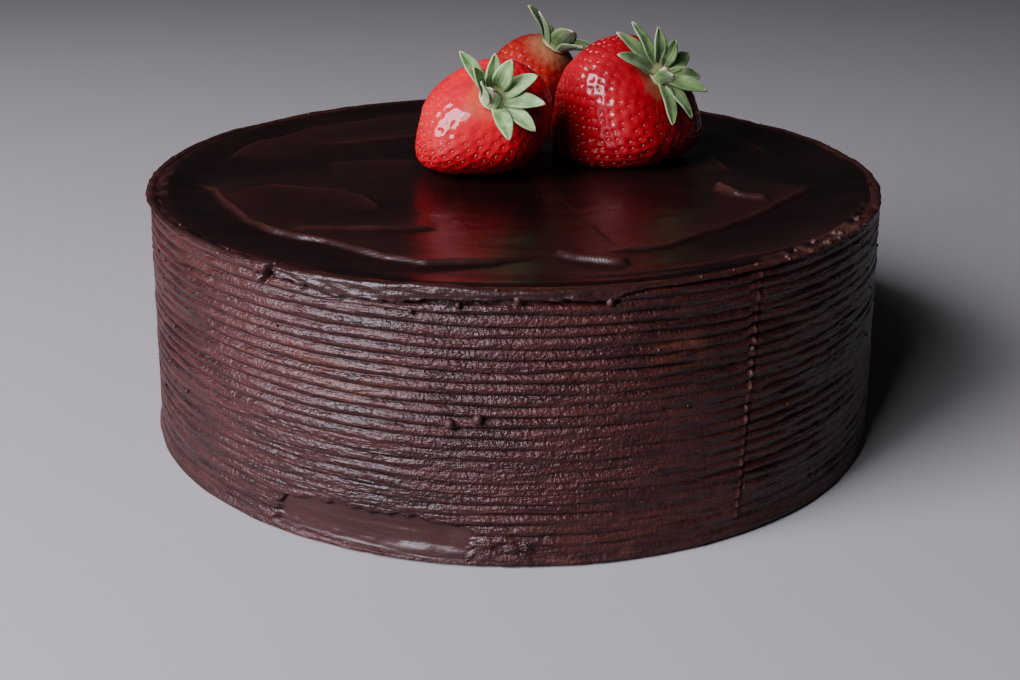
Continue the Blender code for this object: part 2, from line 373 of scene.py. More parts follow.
def skin_mesh(name, grid, first_pole, last_pole, painted=None):
    """A closed mesh over grid (rows, points round, xyz). Rows run from first_pole to
    last_pole with the inside on the left, so that the faces point outwards. A pole is
    painted with the mean of the row beside it."""
    rows, columns, _ = grid.shape
    points = np.vstack([grid.reshape(-1, 3), [first_pole], [last_pole]])
    mesh = closed_mesh(name, points[None], rows, columns)
    for label, values in (painted or {}).items():
        paint_points(mesh, label, [values.ravel(), [values[0].mean(), values[-1].mean()]])
    return mesh


def new_piece(name, mesh, material, slot, *nodes):
    """A piece of the cake: in the scene, riding on the cake's body, with its finish."""
    piece = link_new(name, mesh)
    mesh.materials.append(material)
    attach(piece, "root")
    if nodes:
        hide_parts(*nodes)
    print(name, len(mesh.vertices), "points", len(mesh.polygons), "faces")
    return piece


# %% [markdown]
# ## The combed side
#
# A baker holds a toothed comb against the soft icing and turns the cake. Each tooth leaves
# a groove, so the side is a stack of rounded ridges with sharp grooves between. It could be
# a turned profile, but a real comb wanders, lifts and drags, so the radius is worked out
# for every height and angle at once. The rows of the grid follow the grooves, which keeps
# them crisp, and its columns stand closer together where the icing is torn or beaded.

# %% Sizes of the cake
TOP_RADIUS = 0.1120
BASE_RADIUS = 0.1146
CAKE_HEIGHT = 0.0756
FOOT_SPREAD = 0.0007


def side_radius(level):
    """The side leans in evenly from its base to its top."""
    return BASE_RADIUS + (TOP_RADIUS - BASE_RADIUS) * level / CAKE_HEIGHT


# %% Columns round the cake
FRONT_COLUMNS = 400
BACK_COLUMNS = 160
# angle, reach on each side, and how many times more columns: at the seam and at the tear
CLOSER_AT = ((-57.2, 1.9, 2.4), (-124.2, 2.6, 0.9))


def front_columns():
    """Angles in radians over the front half: each column takes the same share of a
    crowding that is summed round the front."""
    fine = np.linspace(-math.pi, 0.0, 6001)
    crowd = 1.0 + sum(more * bump_at(np.degrees(fine), at, wide) for at, wide, more in CLOSER_AT)
    walked = running_sum(crowd)
    return np.interp(np.arange(FRONT_COLUMNS) / FRONT_COLUMNS * walked[-1], walked, fine)


around = np.concatenate([front_columns(), np.linspace(0.0, math.pi, BACK_COLUMNS, endpoint=False)])
degrees_round = np.degrees(around)
print("columns round the cake:", len(around))

# %% [markdown]
# The seam is where the comb was set down and lifted: a line of small beads, with the
# ridges a little out of step on its two sides.

# %% Where the comb ran
COMB_PITCH = 0.0030
COMB_START = 0.0055
COMB_DEPTH = 0.0015
COMB_WANDER = 0.0005
RIDGES = 23
# a groove, then six places over the ridge, as shares of the pitch
OVER_RIDGE = (0.0, 0.08, 0.22, 0.40, 0.60, 0.78, 0.92)
SEAM_TOP = -55.8
SEAM_FOOT = -58.7
SEAM_STEP = 0.0009
SEAM_FADE = 120.0


def seam_angle(level):
    """The seam leans: its angle at a height."""
    return SEAM_FOOT + (SEAM_TOP - SEAM_FOOT) * level / CAKE_HEIGHT


def comb_rise(angle):
    """The comb's own wander up and down, two waves round the cake and five, and the step
    at the seam, which fades away over the next third of a turn. The angle is in radians."""
    wander = COMB_WANDER * (np.sin(2.0 * angle + 0.4) + 0.5 * np.sin(5.0 * angle + 2.0))
    past_seam = np.degrees(angle) - 0.5 * (SEAM_TOP + SEAM_FOOT)
    step = SEAM_STEP * eased(past_seam / 0.9 + 0.5) * (1.0 - eased(past_seam / SEAM_FADE))
    return wander + step


def comb_phases():
    """The phase of each row along the comb: whole numbers are grooves."""
    return np.concatenate([(np.arange(RIDGES)[:, None] + OVER_RIDGE).ravel(), [float(RIDGES)]])


# %% [markdown]
# The top's icing was folded over the rim: its lip's lower edge is read off the picture. It
# is short all round, but hangs 3 to 5 mm down in front. Under it a fold is torn open.

# %% Lower edge of the lip, and the tear
# angle, and height in millimetres
LIP_EDGE = np.array([
    (-180.0, 74.9), (-150.0, 74.9), (-127.0, 74.7), (-124.4, 74.6), (-123.6, 72.9), (-118.7, 72.1),
    (-114.1, 70.4), (-109.8, 70.6), (-104.4, 71.2), (-98.0, 72.4), (-91.8, 72.6), (-84.3, 72.7),
    (-77.5, 72.2), (-76.0, 73.6), (-73.0, 74.5), (-58.0, 74.7), (-52.0, 74.8), (-20.0, 74.9),
    (60.0, 74.6), (100.0, 74.9), (180.0, 74.9),
])
TEAR_ANGLE = -124.2
TEAR_DEPTH = 0.0026
# angles, from and to, and their soft edge
FLAP = (-126.6, -124.6, 0.5)


def lip_edge(degrees):
    """Height of the lip's lower edge, more ragged where it hangs."""
    level = np.interp(degrees, LIP_EDGE[:, 0], LIP_EDGE[:, 1]) * 0.001
    hangs = eased((0.0745 - level) / 0.002)
    return level + (0.00012 + 0.0005 * hangs) * line_noise(degrees / 1.1, 22, wrap=327)


def tear_relief(degrees, level):
    """A crevice that leans under the rim, and the wrinkled flap folded back on its left."""
    high = eased((level - 0.0692) / 0.0014)
    lean = TEAR_ANGLE + (level - 0.0725) * 260.0
    crack = -TEAR_DEPTH * bump_at(degrees, lean, 0.42) * high
    flap = window_between(degrees, *FLAP) * high
    wrinkle = 0.0007 + 0.0005 * soft_noise(degrees / 0.5, level / 0.0012, 12)
    return crack + flap * wrinkle


# %% [markdown]
# The spatula left a patch wiped smooth near the foot, with the icing that it pushed along
# swollen at its foot and heaped at its right end as a crumbly clump.

# %% The wiped patch and its heap
PATCH_ENDS = (-124.5, -94.8)
PATCH_LEVELS = (0.0022, 0.0128)
HEAP_PLACE = (-91.6, 0.0050)
HEAP_REACH = (4.2, 0.0056)


def along_patch(degrees):
    """0 at the patch's left end and 1 at its right end."""
    return (degrees - PATCH_ENDS[0]) / (PATCH_ENDS[1] - PATCH_ENDS[0])


def patch_mask(degrees, level):
    """The wiped patch: low at its left end, with a ragged upper edge and a ragged end."""
    ragged = 1.5 * line_noise(level / 0.0021, 30) + 0.5 * line_noise(level / 0.0008, 41)
    along = along_patch(degrees + ragged)
    upper = PATCH_LEVELS[1] + 0.0007 * line_noise(degrees / 1.3, 31)
    upper = upper - 0.0034 * (1.0 - eased(along / 0.24)) - 0.0016 * eased((along - 0.7) / 0.3)
    foot = PATCH_LEVELS[0] - 0.0012 * along
    inside = eased(along / 0.06) * eased((1.0 - along) / 0.02)
    return inside * eased((level - foot) / 0.0008) * eased((upper - level) / 0.0006)


def patch_relief(degrees, level):
    """The wiped patch's own surface: a shallow hollow, long smears across it, and the
    icing that the knife pushed to its foot and to its right end."""
    along = along_patch(degrees)
    smears = soft_noise(degrees / 5.0 + level * 900.0, level / 0.0013, 33)
    uneven = line_noise(degrees / 1.1, 34)
    folded = bump_at(level, 0.0042 - 0.0010 * along + 0.0003 * uneven, 0.0008) * (0.5 + 0.5 * uneven)
    pushed = eased((along - 0.86) / 0.13)
    swollen = bump_at(level, 0.0026, 0.0038) * eased((along - 0.45) / 0.35)
    hollow = -0.0010 - 0.0005 * eased((along - 0.2) / 0.4)
    foot = 0.0017 * swollen * (1.0 - 0.6 * pushed)
    return hollow + 0.00020 * smears + 0.0006 * folded + 0.0012 * pushed + foot


def heap_mask(degrees, level):
    """The crumbly heap at the patch's right end: a round clump with a broken outline."""
    wide = (degrees - HEAP_PLACE[0]) / HEAP_REACH[0]
    tall = (level - HEAP_PLACE[1]) / HEAP_REACH[1]
    broken = 0.50 * soft_noise(degrees / 1.1, level / 0.0015, 32)
    return eased((1.0 + broken - np.hypot(wide, tall)) / 0.45)


# %% [markdown]
# The comb bit in patches. It only brushed the icing at the middle of the front, near the
# foot on the left and towards the right, and it pressed deeper above the patch. Each such
# place is a window of angles and heights with soft edges.

# %% How deep the comb bit
ANY_LEVEL = (-1.0, 1.0, 0.1)
# angles and levels, each from, to and soft edge, and how much less the comb bit there
# (below 0 it bit deeper)
COMB_PLACES = (
    ((-126.0, -90.0, 12.0), (0.034, 0.047, 0.008), -0.26),
    ((-107.0, -80.0, 10.0), (0.018, 0.038, 0.012), 0.40),
    ((-148.0, -102.0, 16.0), (0.004, 0.036, 0.014), 0.46),
    ((-74.0, -60.0, 8.0), (0.012, 0.034, 0.010), 0.20),
    ((-82.0, -10.0, 16.0), ANY_LEVEL, 0.26),
)
GRAINY_PLACE = ((-104.0, -72.0, 10.0), (0.018, 0.069, 0.01))
THIN_PLACE = ((-71.5, -64.5, 4.0), (0.0525, 0.061, 0.006))
SCRAPED_PLACE = ((-124.0, -105.0, 12.0), (0.044, 0.056, 0.009))


def place_mask(degrees, level, angles, levels):
    """1 over a place on the side and 0 away from it."""
    return window_between(degrees, *angles) * window_between(level, *levels)


def comb_strength(degrees, level, phase):
    """How deep the comb bit, from 0.14 to 1: noise in broad patches and in finer ones,
    noise for each groove alone, and the places above."""
    strength = 0.65 + 0.22 * soft_noise(degrees / 24.0, level / 0.014, 3, wrap=15)
    strength += 0.12 * soft_noise(degrees / 6.0, level / 0.006, 4, wrap=60)
    strength += 0.24 * soft_noise(degrees / 12.0, phase + 0.5, 13, wrap=30)
    strength += 0.14 * soft_noise(degrees / 3.0, phase + 0.5, 14, wrap=120)
    for angles, levels, less in COMB_PLACES:
        strength -= less * place_mask(degrees, level, angles, levels)
    return np.clip(strength, 0.14, 1.0)


# %% [markdown]
# All of this is added up. Grooves are cut by the comb, drags run along it, grains and small
# pocks break it, and the patch and its heap take its place. The beads stand on the seam.

# %% Relief of the side
BEAD_HEIGHT = 0.0012


def combed_relief(degrees, level, strength, ridge, grainy):
    """Grooves as deep as the comb bit, with drags, grains and pocks."""
    relief = -COMB_DEPTH * strength * (1.0 - ridge)
    drag = soft_noise(degrees / 9.0, level / 0.0009, 5, wrap=40)
    drag += 0.6 * soft_noise(degrees / 4.0, level / 0.0006, 6, wrap=90)
    relief += 0.00022 * drag * (1.5 - strength)
    grain = soft_noise(degrees / 0.72, level / 0.00075, 7, wrap=500)
    relief += 0.00014 * grain * (0.35 + 0.65 * grainy)
    pocks = np.clip(soft_noise(degrees / 2.0, level / 0.002, 8, wrap=180) - 0.62, 0.0, 1.0)
    return relief - 0.0012 * pocks


def side_relief(degrees, level, phase):
    """How far the side stands out from its plain radius, and the masks for its finish."""
    ridge = np.abs(np.sin(math.pi * phase)) ** 0.85
    combed = eased((level - 0.0035) / 0.003)
    strength = comb_strength(degrees, level, phase) * combed
    grainy = place_mask(degrees, level, *GRAINY_PLACE)
    patch = patch_mask(degrees, level)
    heap = heap_mask(degrees, level)
    relief = combed_relief(degrees, level, strength, ridge, grainy)
    relief = relief * (1.0 - patch) + patch_relief(degrees, level) * patch
    crumbly = soft_noise(degrees, level / 0.0013, 9, wrap=360)
    relief = relief * (1.0 - heap) + heap * (0.0004 + 0.0007 * crumbly)
    seam = seam_angle(level) + 0.10 * line_noise(phase * 1.3, 35)
    bead = bump_at(degrees, seam, 0.24) * combed * (0.62 + 0.38 * line_noise(phase + 0.5, 36))
    relief += bead * (BEAD_HEIGHT * ridge - 0.0003)
    relief -= 0.0005 * bump_at(degrees, seam + 0.75, 0.35) * combed
    hang = lip_edge(degrees)
    relief -= 0.0013 * bump_at(level, hang - 0.0005, 0.0007) * eased((0.0744 - hang) / 0.001)
    relief += tear_relief(degrees, level)
    thin = place_mask(degrees, level, *THIN_PLACE) + 0.42 * place_mask(degrees, level, *SCRAPED_PLACE)
    thin = thin * (0.80 + 0.20 * soft_noise(degrees / 1.6, level / 0.0016, 37, wrap=225))
    # groove: where shade is painted into the grooves as a darker colour, and where they are rougher
    groove = (1.0 - ridge) ** 2 * strength * (1.0 - patch) * (1.0 - heap)
    grainy = np.maximum(grainy, heap)
    thin = np.clip(thin, 0.0, 1.0)
    return relief, {"groove": groove, "smear": patch, "grainy": grainy, "thin": thin, "bead": bead}


# %% Make the side
# levels of the rows below the comb, and the highest that the comb's rows go
PLAIN_ROWS = (0.0008, 0.0015, 0.0022, 0.0029, 0.0036, 0.0043, 0.0049)
HIGHEST_ROW = 0.0749
# rows that close the side in under the top layer: how far in, and their level
SHOULDER_ROWS = np.array([(0.0026, 0.0752), (0.0060, 0.0735), (0.0120, 0.0708), (0.0500, 0.0705)])


def make_side():
    """Rows from the flat base up the side and in under the top layer. A row's level is its
    phase times the pitch, with the comb's rise and a fine wobble."""
    phase = comb_phases()[:, None]
    wobble = 0.00028 * soft_noise(degrees_round / 9.0, phase, 38, wrap=40)
    combed = COMB_START + COMB_PITCH * phase + (comb_rise(around) + wobble) * eased(phase / 2.0)
    plain = np.outer(PLAIN_ROWS, np.ones_like(around))
    level = np.vstack([plain, np.minimum(combed, HIGHEST_ROW)])
    phase = np.vstack([np.full((len(PLAIN_ROWS), 1), 0.5), phase])
    relief, masks = side_relief(degrees_round, level, phase)
    print("side relief in millimetres:", np.round(np.array([relief.min(), relief.max()]) * 1000, 2))
    foot = FOOT_SPREAD * eased((0.004 - level) / 0.004)
    radius = np.minimum(side_radius(level) + foot + relief, BASE_RADIUS + FOOT_SPREAD)
    base = round_points(BASE_RADIUS - 0.0006, around, 0.0)
    shoulder = round_points(TOP_RADIUS - SHOULDER_ROWS[:, :1], around, SHOULDER_ROWS[:, 1:])
    grid = np.vstack([base[None], round_points(radius, around, level), shoulder])
    unpainted = np.zeros((len(SHOULDER_ROWS), len(around)))
    painted = {label: np.vstack([values[:1], values, unpainted]) for label, values in masks.items()}
    return skin_mesh("icing_side", grid, (0.0, 0.0, 0.0), (0.0, 0.0, SHOULDER_ROWS[-1, 1]), painted)


side_mesh = make_side()

# %% [markdown]
# ## The strawberries' form
#
# The fruit comes before the icing's top, because the top is pressed down under it. A
# strawberry is widest near its leafy end and tapers to a blunt tip, and its cross-section
# is a little square. It could be sculpted from a ball, but a formula keeps it the same as
# the solid model and gives the seeds a surface to sit on.

# %% Form of a strawberry
WIDEST = 0.34
LEAFY_END = 0.020
SQUARENESS = 2.5
BAND_DROP = 0.0012

# name: centre x and y, turn and rise of its leafy end, length, width, thickness as a share
# of width, depth in the icing; then how it slumps (its lean with height, how much wider at
# its foot, how much narrower at its top), and the turn, rise and gap of its cap
FRUIT = {
    "left": dict(
        at=(-0.0091, -0.0023), turn=-86.0, rise=32.0, length=0.0436, width=0.0404, flat=0.858, sink=0.0012,
        lean=0.224, full=0.30, narrow=0.49, cap_turn=-76.0, cap_rise=40.0, cap_gap=0.0007,
    ),
    "right": dict(
        at=(0.0375, 0.0195), turn=-42.5, rise=36.0, length=0.0470, width=0.0440, flat=0.926, sink=0.0035,
        lean=-0.130, full=0.545, narrow=0.20, cap_turn=-49.0, cap_rise=34.0, cap_gap=0.0008,
    ),
    "back": dict(
        at=(0.0048, 0.0451), turn=-28.0, rise=56.5, length=0.0427, width=0.0320, flat=0.866, sink=0.0028,
        lean=0.120, full=0.0, narrow=0.09, cap_turn=-30.0, cap_rise=58.0, cap_gap=0.0006,
    ),
}


def fruit_radius(share, width):
    """Half width at a share of the length from the leafy end: full shoulders as far as
    the widest place, then a taper to the tip."""
    above = np.clip((WIDEST - share) / WIDEST, 0.0, 1.0)
    below = np.clip((share - WIDEST) / (1.0 - WIDEST), 0.0, 1.0)
    shoulder = (1.0 - above**2.6) ** 0.55
    taper = (1.0 - below**2.0) ** 0.62
    return 0.5 * width * np.where(share < WIDEST, shoulder, taper)


def straight_points(fruit, share, angle, out=0.0):
    """Points on a fruit along +Z with its widest place at the origin, moved out by out
    along the radius."""
    square = np.abs(np.cos(angle)) ** SQUARENESS + np.abs(np.sin(angle)) ** SQUARENESS
    radius = fruit_radius(share, fruit["width"]) / square ** (1.0 / SQUARENESS) + out
    height = (WIDEST - share) * fruit["length"]
    return np.stack([radius * np.cos(angle), fruit["flat"] * radius * np.sin(angle), height], axis=-1)


# %% Lay the fruit on the cake


def unit(vectors):
    """Each vector divided by its length."""
    return vectors / np.linalg.norm(vectors, axis=-1, keepdims=True)


def facing(turn, rise):
    """Rows of a rotation that takes +Z to a direction, with the flat sides of what is
    turned facing up and down."""
    axis = np.array(direction(turn, rise))
    side = unit(np.cross(axis, (0.0, 0.0, 1.0)))
    return np.stack([side, np.cross(axis, side), axis])


def slumped(points, fruit, foot):
    """The turned points once the fruit has slumped: wider below its middle, narrower above
    it, and leaning to one side. foot is the height of its lowest point."""
    level = points[..., 2:]
    below = np.clip(level / foot, 0.0, 1.0)
    above = np.clip(-level / foot, 0.0, 1.4)
    spread = 1.0 + fruit["full"] * below**2 - fruit["narrow"] * above**2
    x = points[..., :1] * spread + fruit["lean"] * level
    return np.concatenate([x, points[..., 1:2] * spread, level], axis=-1)


def fruit_pose(fruit):
    """Turn of a fruit, the height of its lowest point, and its place: it lies so that the
    lowest point is the fruit's own depth under the icing."""
    turned = facing(fruit["turn"], fruit["rise"])
    share, angle = round_grid(np.linspace(LEAFY_END, 1.0, 90), 89)
    foot = (straight_points(fruit, share, angle) @ turned)[..., 2].min()
    return turned, foot, np.array([*fruit["at"], CAKE_HEIGHT - BAND_DROP - fruit["sink"] - foot])


def fruit_points(name, share, angle, out=0.0):
    """Points of a fruit's skin where it lies on the cake."""
    turned, foot, place = POSES[name]
    return slumped(straight_points(FRUIT[name], share, angle, out) @ turned, FRUIT[name], foot) + place


def fruit_end(name, share):
    """The point on a fruit's own axis at a share of its length."""
    turned, foot, place = POSES[name]
    on_axis = np.array([0.0, 0.0, (WIDEST - share) * FRUIT[name]["length"]]) @ turned
    return slumped(on_axis, FRUIT[name], foot) + place


POSES = {name: fruit_pose(fruit) for name, fruit in FRUIT.items()}
for name, (_, _, place) in POSES.items():
    print("strawberry", name, "at", np.round(place * 1000, 1), "mm")

# %% [markdown]
# ## The spread top
#
# The top was spread with a long knife. Its strokes leave broad, nearly flat plates that
# end in a low step with a bright burr, and a band round the edge where the knife turned.
# Each step is a line across the top: the icing stands high on one side of it, sinks away
# slowly behind and drops at once in front. The layer turns over the rim and hangs down in
# front as a ragged lip.

# %% Strokes of the knife
# Each stroke: its line in millimetres from left to right as the picture shows it, the
# height of its step and how far the plate runs behind it, in millimetres too, and which
# side stands high (1 is the side away from the viewer, -1 the near side).
STROKES = [
    ([(-98.9, -11.2), (-90.1, -21.3), (-85.3, -35.2), (-76.0, -54.1), (-69.2, -61.5), (-59.2, -66.9),
      (-50.5, -72.0), (-40.3, -80.4), (-33.5, -86.1), (-22.8, -90.6), (-5.5, -88.1), (9.0, -83.0)],
     1.15, 22.0, 1),
    ([(-62.0, -64.2), (-48.0, -62.1), (-37.0, -61.9), (-20.0, -60.5)], 0.85, 12.0, 1),
    ([(-86.0, -32.0), (-74.0, -16.5), (-65.8, -19.8), (-52.5, -21.5), (-44.1, -29.1), (-35.5, -46.5)],
     0.80, 14.0, -1),
    ([(-62.0, 13.2), (-47.3, 15.8), (-30.0, 17.4)], 0.60, 16.0, -1),
    ([(21.5, -77.6), (28.2, -76.7), (41.8, -70.3), (56.8, -56.4), (73.2, -39.4), (93.3, -9.6)], 0.7, 22.0, 1),
    ([(10.6, -102.6), (26.8, -98.0), (47.2, -91.9), (66.1, -82.7), (81.4, -69.6), (95.3, -52.7)],
     0.5, 9.0, 1),
    ([(60.5, -15.0), (62.5, -21.0), (65.2, -26.0), (67.6, -28.4), (71.4, -30.5), (75.5, -31.6)], 1.9, 5.0, 1),
    ([(10.0, -79.5), (13.0, -83.0), (17.0, -85.8), (22.0, -87.7), (30.0, -89.4)], 1.4, 4.0, 1),
    ([(-96.0, 14.0), (-88.0, 40.0), (-70.0, 62.0), (-44.0, 80.0), (-14.0, 88.0)], 0.8, 20.0, -1),
    ([(-10.0, 92.0), (22.0, 86.0), (52.0, 72.0), (76.0, 50.0), (90.0, 22.0)], 0.7, 20.0, -1),
    ([(-70.0, 34.0), (-40.0, 48.0), (-22.0, 56.0)], 0.4, 16.0, 1),
    ([(30.0, 66.0), (52.0, 50.0), (66.0, 26.0), (70.0, 2.0)], 0.4, 18.0, -1),
]

# %% Steps along the strokes
STEP_WIDTH = 0.00055
BURR_WIDTH = 0.0006
# in millimetres: the length of a ragged edge's notches, and the height above which a step
# is wider too
NOTCH_LENGTH = 4.5
PLAIN_HEIGHT = 1.15


def distance_to_line(x, y, line):
    """For every point: its distance to a line of points, signed to be positive on the
    line's left, and how far along the line its nearest place is, from 0 to 1."""
    line = np.array(line) * 0.001
    best = np.full(x.shape, 1.0)
    signed = np.zeros_like(best)
    along = np.zeros_like(best)
    lengths = np.linalg.norm(np.diff(line, axis=0), axis=1)
    walked = np.concatenate([[0.0], np.cumsum(lengths)])
    for start, step, length, before in zip(line, np.diff(line, axis=0), lengths, walked):
        t = np.clip(((x - start[0]) * step[0] + (y - start[1]) * step[1]) / length**2, 0.0, 1.0)
        dx = x - start[0] - t * step[0]
        dy = y - start[1] - t * step[1]
        gap = np.hypot(dx, dy)
        nearer = gap < best
        side = np.sign(step[0] * dy - step[1] * dx)
        best = np.where(nearer, gap, best)
        signed = np.where(nearer, gap * side, signed)
        along = np.where(nearer, (before + t * length) / walked[-1], along)
    return signed, along


def stroke_relief(x, y):
    """Sum of all the knife's steps, in metres, and where their burrs and plates are. A
    step rises as a soft edge, sinks away behind, and has its burr as a bell on the edge;
    a high step is also wider."""
    total = np.zeros_like(x)
    edge = np.zeros_like(x)
    plate = np.zeros_like(x)
    for number, (line, height, reach, high_side) in enumerate(STROKES):
        signed, along = distance_to_line(x, y, line)
        cells = along * np.linalg.norm(np.diff(line, axis=0), axis=1).sum() / NOTCH_LENGTH
        fade = eased(along / 0.12) * eased((1.0 - along) / 0.12)
        ragged = 0.00025 * line_noise(cells, 40 + number)
        ragged += 0.0012 * line_noise(cells * 0.25, 80 + number)
        wide = max(1.0, height / PLAIN_HEIGHT) ** 0.6
        signed = signed * high_side
        step = 0.5 + 0.5 * np.tanh((signed + ragged) / (STEP_WIDTH * wide))
        behind = np.exp(-np.clip(signed, 0.0, None) / (0.001 * reach))
        burr = bump_at(signed + ragged, BURR_WIDTH, BURR_WIDTH * wide)
        burr = burr * (0.60 + 0.40 * line_noise(cells * 0.6, 60 + number))
        total += fade * 0.001 * height * (1.25 * step * behind + 0.50 * burr)
        edge = np.maximum(edge, fade * burr * min(1.0, 0.35 + height))
        plate = np.maximum(plate, fade * step * behind)
    return total, edge, plate


# %% [markdown]
# The icing is also pressed down by each fruit. The lowest skin of a fruit over a point is
# found by dropping many points of its skin into small cells and keeping the lowest one.

# %% Hollows under the fruit
CELL = 0.0006
CELLS = 360
# a height above any fruit, for cells that no fruit is over
NO_FRUIT = 1.0


def cell_of(place):
    """The number of the cell at a place, counted from the map's edge."""
    return np.clip((place / CELL + CELLS / 2).astype(int), 0, CELLS - 1)


def lowest_skin():
    """A map of cells over the middle of the top: the lowest height of any fruit there."""
    low = np.full((CELLS, CELLS), NO_FRUIT)
    share, angle = round_grid(np.linspace(LEAFY_END, 1.0, 420), 699)
    for name in FRUIT:
        x, y, z = fruit_points(name, share, angle).reshape(-1, 3).T
        np.minimum.at(low, (cell_of(x), cell_of(y)), z)
    return low


SKIN_MAP = lowest_skin()
print("cells under the fruit:", int((SKIN_MAP < NO_FRUIT).sum()))

# %% [markdown]
# The rim is lumpy and crumbling right of the front, and a little at the far left. A band
# slopes in from the rim, and the strokes and some fine waves lie inside it.

# %% Height of the rim and the top
RIM_WIDTH = 0.0022
RIM_LIFT = 0.0005
BAND_WIDTH = 0.0150
DEEPEST_HOLLOW = 0.0062
# angles, from, to and soft edge, of the rough stretches of the rim
ROUGH_RIGHT = (-52.0, -20.0, 10.0)
ROUGH_LEFT = (-178.0, -160.0, 8.0)


def rough_rim(degrees):
    """Where the rim is lumpy and crumbling, from 0 to 1."""
    rough = window_between(degrees, *ROUGH_RIGHT) + 0.6 * window_between(degrees, *ROUGH_LEFT)
    return rough * (0.6 + 0.4 * line_noise(degrees / 2.2, 26, wrap=164))


def rim_lumps(degrees):
    """Lumps along the rough rim, about 4 mm long."""
    return line_noise(degrees / 1.9, 39, wrap=190)


def rim_level(degrees):
    """Height of the ragged rim: three waves round the cake, noise, and its lumps."""
    angle = np.radians(degrees)
    ragged = np.sin(7.0 * angle + 1.0) + np.sin(11.0 * angle + 2.3) + np.sin(17.0 * angle)
    fine = line_noise(degrees / 2.4, 21, wrap=150)
    lumps = 0.00022 * line_noise(degrees / 0.7, 27, wrap=515) + 0.00040 * rim_lumps(degrees)
    return CAKE_HEIGHT + 0.00016 * ragged + 0.00022 * fine + rough_rim(degrees) * lumps - 0.0002


def top_height(x, y):
    """Level of the spread top: a band that slopes in from the rim, broad strokes, fine
    waves along them, and a hollow with a low lip under each fruit."""
    distance = np.hypot(x, y)
    degrees = np.degrees(np.arctan2(y, x))
    into_band = np.clip((TOP_RADIUS - RIM_WIDTH - distance) / BAND_WIDTH, 0.0, 1.0)
    height = CAKE_HEIGHT - RIM_LIFT - BAND_DROP + (RIM_LIFT + BAND_DROP) * (1.0 - eased(into_band))
    inner = eased((TOP_RADIUS - 0.004 - distance) / 0.006)
    strokes, edge, plate = stroke_relief(x, y)
    waves = 0.00030 * soft_noise(x / 0.040 + 9.0, y / 0.018 + 7.0, 15)
    waves += 0.00010 * soft_noise((x + y) / 0.016 + 31.0, (y - 0.4 * x) / 0.005 + 20.0, 16)
    waves += 0.00005 * soft_noise(degrees / 10.0, distance / 0.0022, 17, wrap=36)
    height = height + inner * (strokes + waves)
    over = SKIN_MAP[cell_of(x), cell_of(y)]
    lip = 0.0008 * np.exp(-np.clip(over - height, 0.0, None) / 0.0010)
    pressed = np.minimum(height + lip * (over < NO_FRUIT), over - 0.0003)
    return np.maximum(pressed, CAKE_HEIGHT - DEEPEST_HOLLOW), edge, plate


# %% Rows of the top layer
UNDERSIDE = 0.0690
# shares of the lip's height
LIP_ROWS = (0.06, 0.17, 0.29, 0.41, 0.53, 0.65, 0.77, 0.89)
# rows over the rim: how far in, how far down, and how much further down at the tear
OVER_RIM = ((0.0001, 0.0004, 0.0), (0.0005, 0.0001, 0.0), (0.0011, 0.0, 0.0), (0.0018, 0.0002, 0.0004))
TOP_RINGS = np.concatenate([
    np.arange(0.1096, 0.0640, -0.00052),
    np.arange(0.0635, 0.0400, -0.00088),
    np.linspace(0.0392, 0.0012, 22),
])
# the radius past which the top rises to the rim, and how many rings its lumps colour
RIM_BLEND = 0.1066
LUMPY_RINGS = 6

# %% The lip's face


def lip_rows(low, rim, out):
    """Rows up the lip's face, which is folded and swells between its edges."""
    rows = []
    for share in LIP_ROWS:
        level = low + (rim - 0.0005 - low) * share
        wrinkle = soft_noise(degrees_round / 2.6 + level * 700.0, level / 0.0012, 24)
        wrinkle += 0.8 * soft_noise(degrees_round / 0.9, level / 0.0007, 25, wrap=400)
        wrinkle += 0.9 * soft_noise(degrees_round / 7.0 + level * 300.0, level / 0.0009, 29)
        middle = math.sin(math.pi * min(share + 0.15, 1.0)) ** 0.5
        swell = 0.00042 * wrinkle * eased((rim - low) / 0.002) * middle
        rows.append(round_points(out + side_radius(level) - TOP_RADIUS + swell, around, level))
    return rows


# %% Make the top layer


